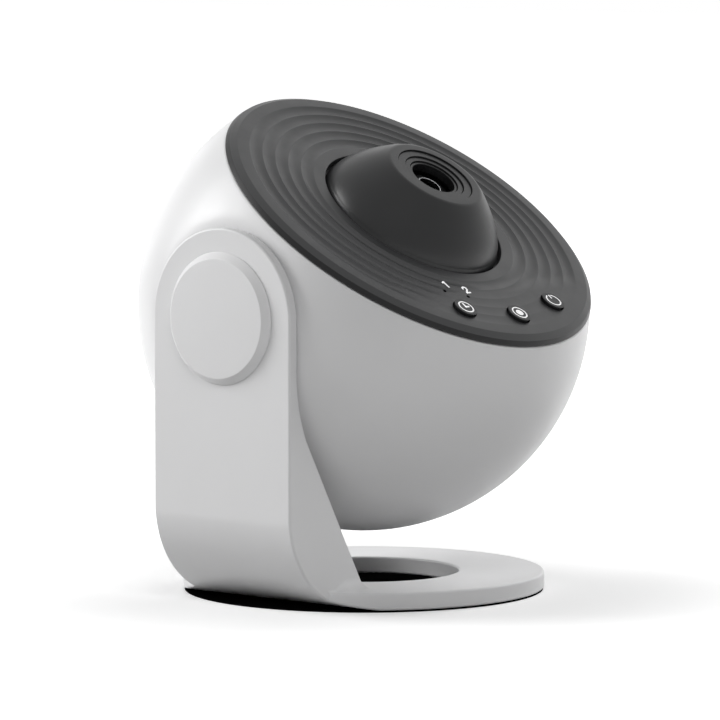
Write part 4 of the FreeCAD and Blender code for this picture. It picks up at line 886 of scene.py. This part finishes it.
# where each lamp stands, its size and its power in watts
LAMPS = {
    "left": ((-1.35, -0.85, 0.85), 1.1, 24.0),
    "left_rim": ((-1.4, 0.6, 0.35), 0.6, 1.0),
    "right_high": ((1.0, -0.9, 1.3), 0.9, 10.2),
    "right_back": ((1.0, 1.15, 0.45), 0.9, 3.4),
    "back_high": ((0.1, 1.4, 0.9), 0.9, 13.4),
}
LAMP_TARGET = Vector((0, 0, 0.09))
SEEN_IN_GLOSS = ("left", "left_rim")


def seen_directly(tree):
    """1 for rays from the camera, off a gloss or through glass, and 0 for the others."""
    rays = add_node(tree, "ShaderNodeLightPath").outputs
    seen = rays["Is Camera Ray"]
    for kind in ("Is Glossy Ray", "Is Transmission Ray"):
        seen = add_node(tree, "ShaderNodeMath", {0: seen, 1: rays[kind]}, operation="MAXIMUM").outputs[0]
    return seen


def blend(tree, factor, low, high, kind="FLOAT"):
    """A value or colour between two others."""
    inputs = {"Factor": factor, "A": low, "B": high}
    return add_node(tree, "ShaderNodeMix", inputs, data_type=kind).outputs["Result"]


def surroundings():
    """White to look at, also in gloss and through glass, with hardly any light on the object."""
    world = bpy.data.worlds.new("studio")
    bpy.context.scene.world = world
    world.use_nodes = True
    tree = world.node_tree
    strength = blend(tree, seen_directly(tree), WORLD_LIGHT, 1.0)
    feed(tree, tree.nodes["Background"], {"Color": WHITE, "Strength": strength})


def floor():
    """A pale floor that keeps the object's shadow and fades to white further away."""
    bpy.ops.mesh.primitive_plane_add(size=FLOOR_SIZE)
    plane = bpy.context.object
    plane.name = "floor"
    material, tree, shader = new_material("floor")
    seen = seen_directly(tree)
    place = add_node(tree, "ShaderNodeTexCoord").outputs["Object"]
    distance = add_node(tree, "ShaderNodeVectorMath", {0: place}, operation="LENGTH").outputs["Value"]
    glow = value_between(tree, distance, *FLOOR_GLOW, ends=GLOW_SPAN, course="SMOOTHSTEP")
    feed(tree, shader, {
        "Base Color": blend(tree, seen, FLOOR_BOUNCE, FLOOR_SEEN, "RGBA"),
        "Roughness": FLOOR_ROUGHNESS,
        "Specular IOR Level": FLOOR_GLOSS,
        "Emission Color": WHITE,
        "Emission Strength": blend(tree, seen, 0.0, glow),
    })
    plane.data.materials.append(material)


def lamps():
    """The soft round lamps of the studio, all turned to the head."""
    for name, (place, size, power) in LAMPS.items():
        data = bpy.data.lights.new(name, "AREA")
        data.energy = power
        data.shape = "DISK"
        data.size = size
        lamp = add_object(name, data)
        lamp.location = place
        lamp.rotation_euler = (LAMP_TARGET - Vector(place)).to_track_quat("-Z", "Y").to_euler()
        lamp.visible_glossy = name in SEEN_IN_GLOSS


# ---------------------------------------------------------------- camera

# fitted to the photograph: place in millimetres, direction, and focal length in pixels of its frame
CAMERA_PLACE = (1093.354, -1312.880, 235.26)
CAMERA_YAW = 129.83
CAMERA_PITCH = -5.32
FOCAL_PIXELS = 5169.4753
FRAME_PIXELS = 720
SENSOR_WIDTH = 36.0
CLIP_END = 50


def camera():
    """The photograph's viewing angle."""
    data = bpy.data.cameras.new("camera")
    data.sensor_width = SENSOR_WIDTH
    data.lens = FOCAL_PIXELS / FRAME_PIXELS * SENSOR_WIDTH
    data.clip_end = CLIP_END
    view = add_object("camera", data)
    view.location = Vector(CAMERA_PLACE) * MM
    level = math.cos(math.radians(CAMERA_PITCH))
    ahead = Vector(polar(level, CAMERA_YAW, math.sin(math.radians(CAMERA_PITCH))))
    view.rotation_euler = ahead.to_track_quat("-Z", "Y").to_euler()
    bpy.context.scene.camera = view


# ---------------------------------------------------------------- the scene

bpy.context.scene.view_settings.view_transform = "Standard"
camera()
paint_nodes()
ball_shell()
front_plate()
dome()
lens_details()
for button in BUTTON_ANGLES:
    button_cap(button)
prints()
stand_form()
foot_blend()
pivot_cap()
pad()
surroundings()
floor()
lamps()
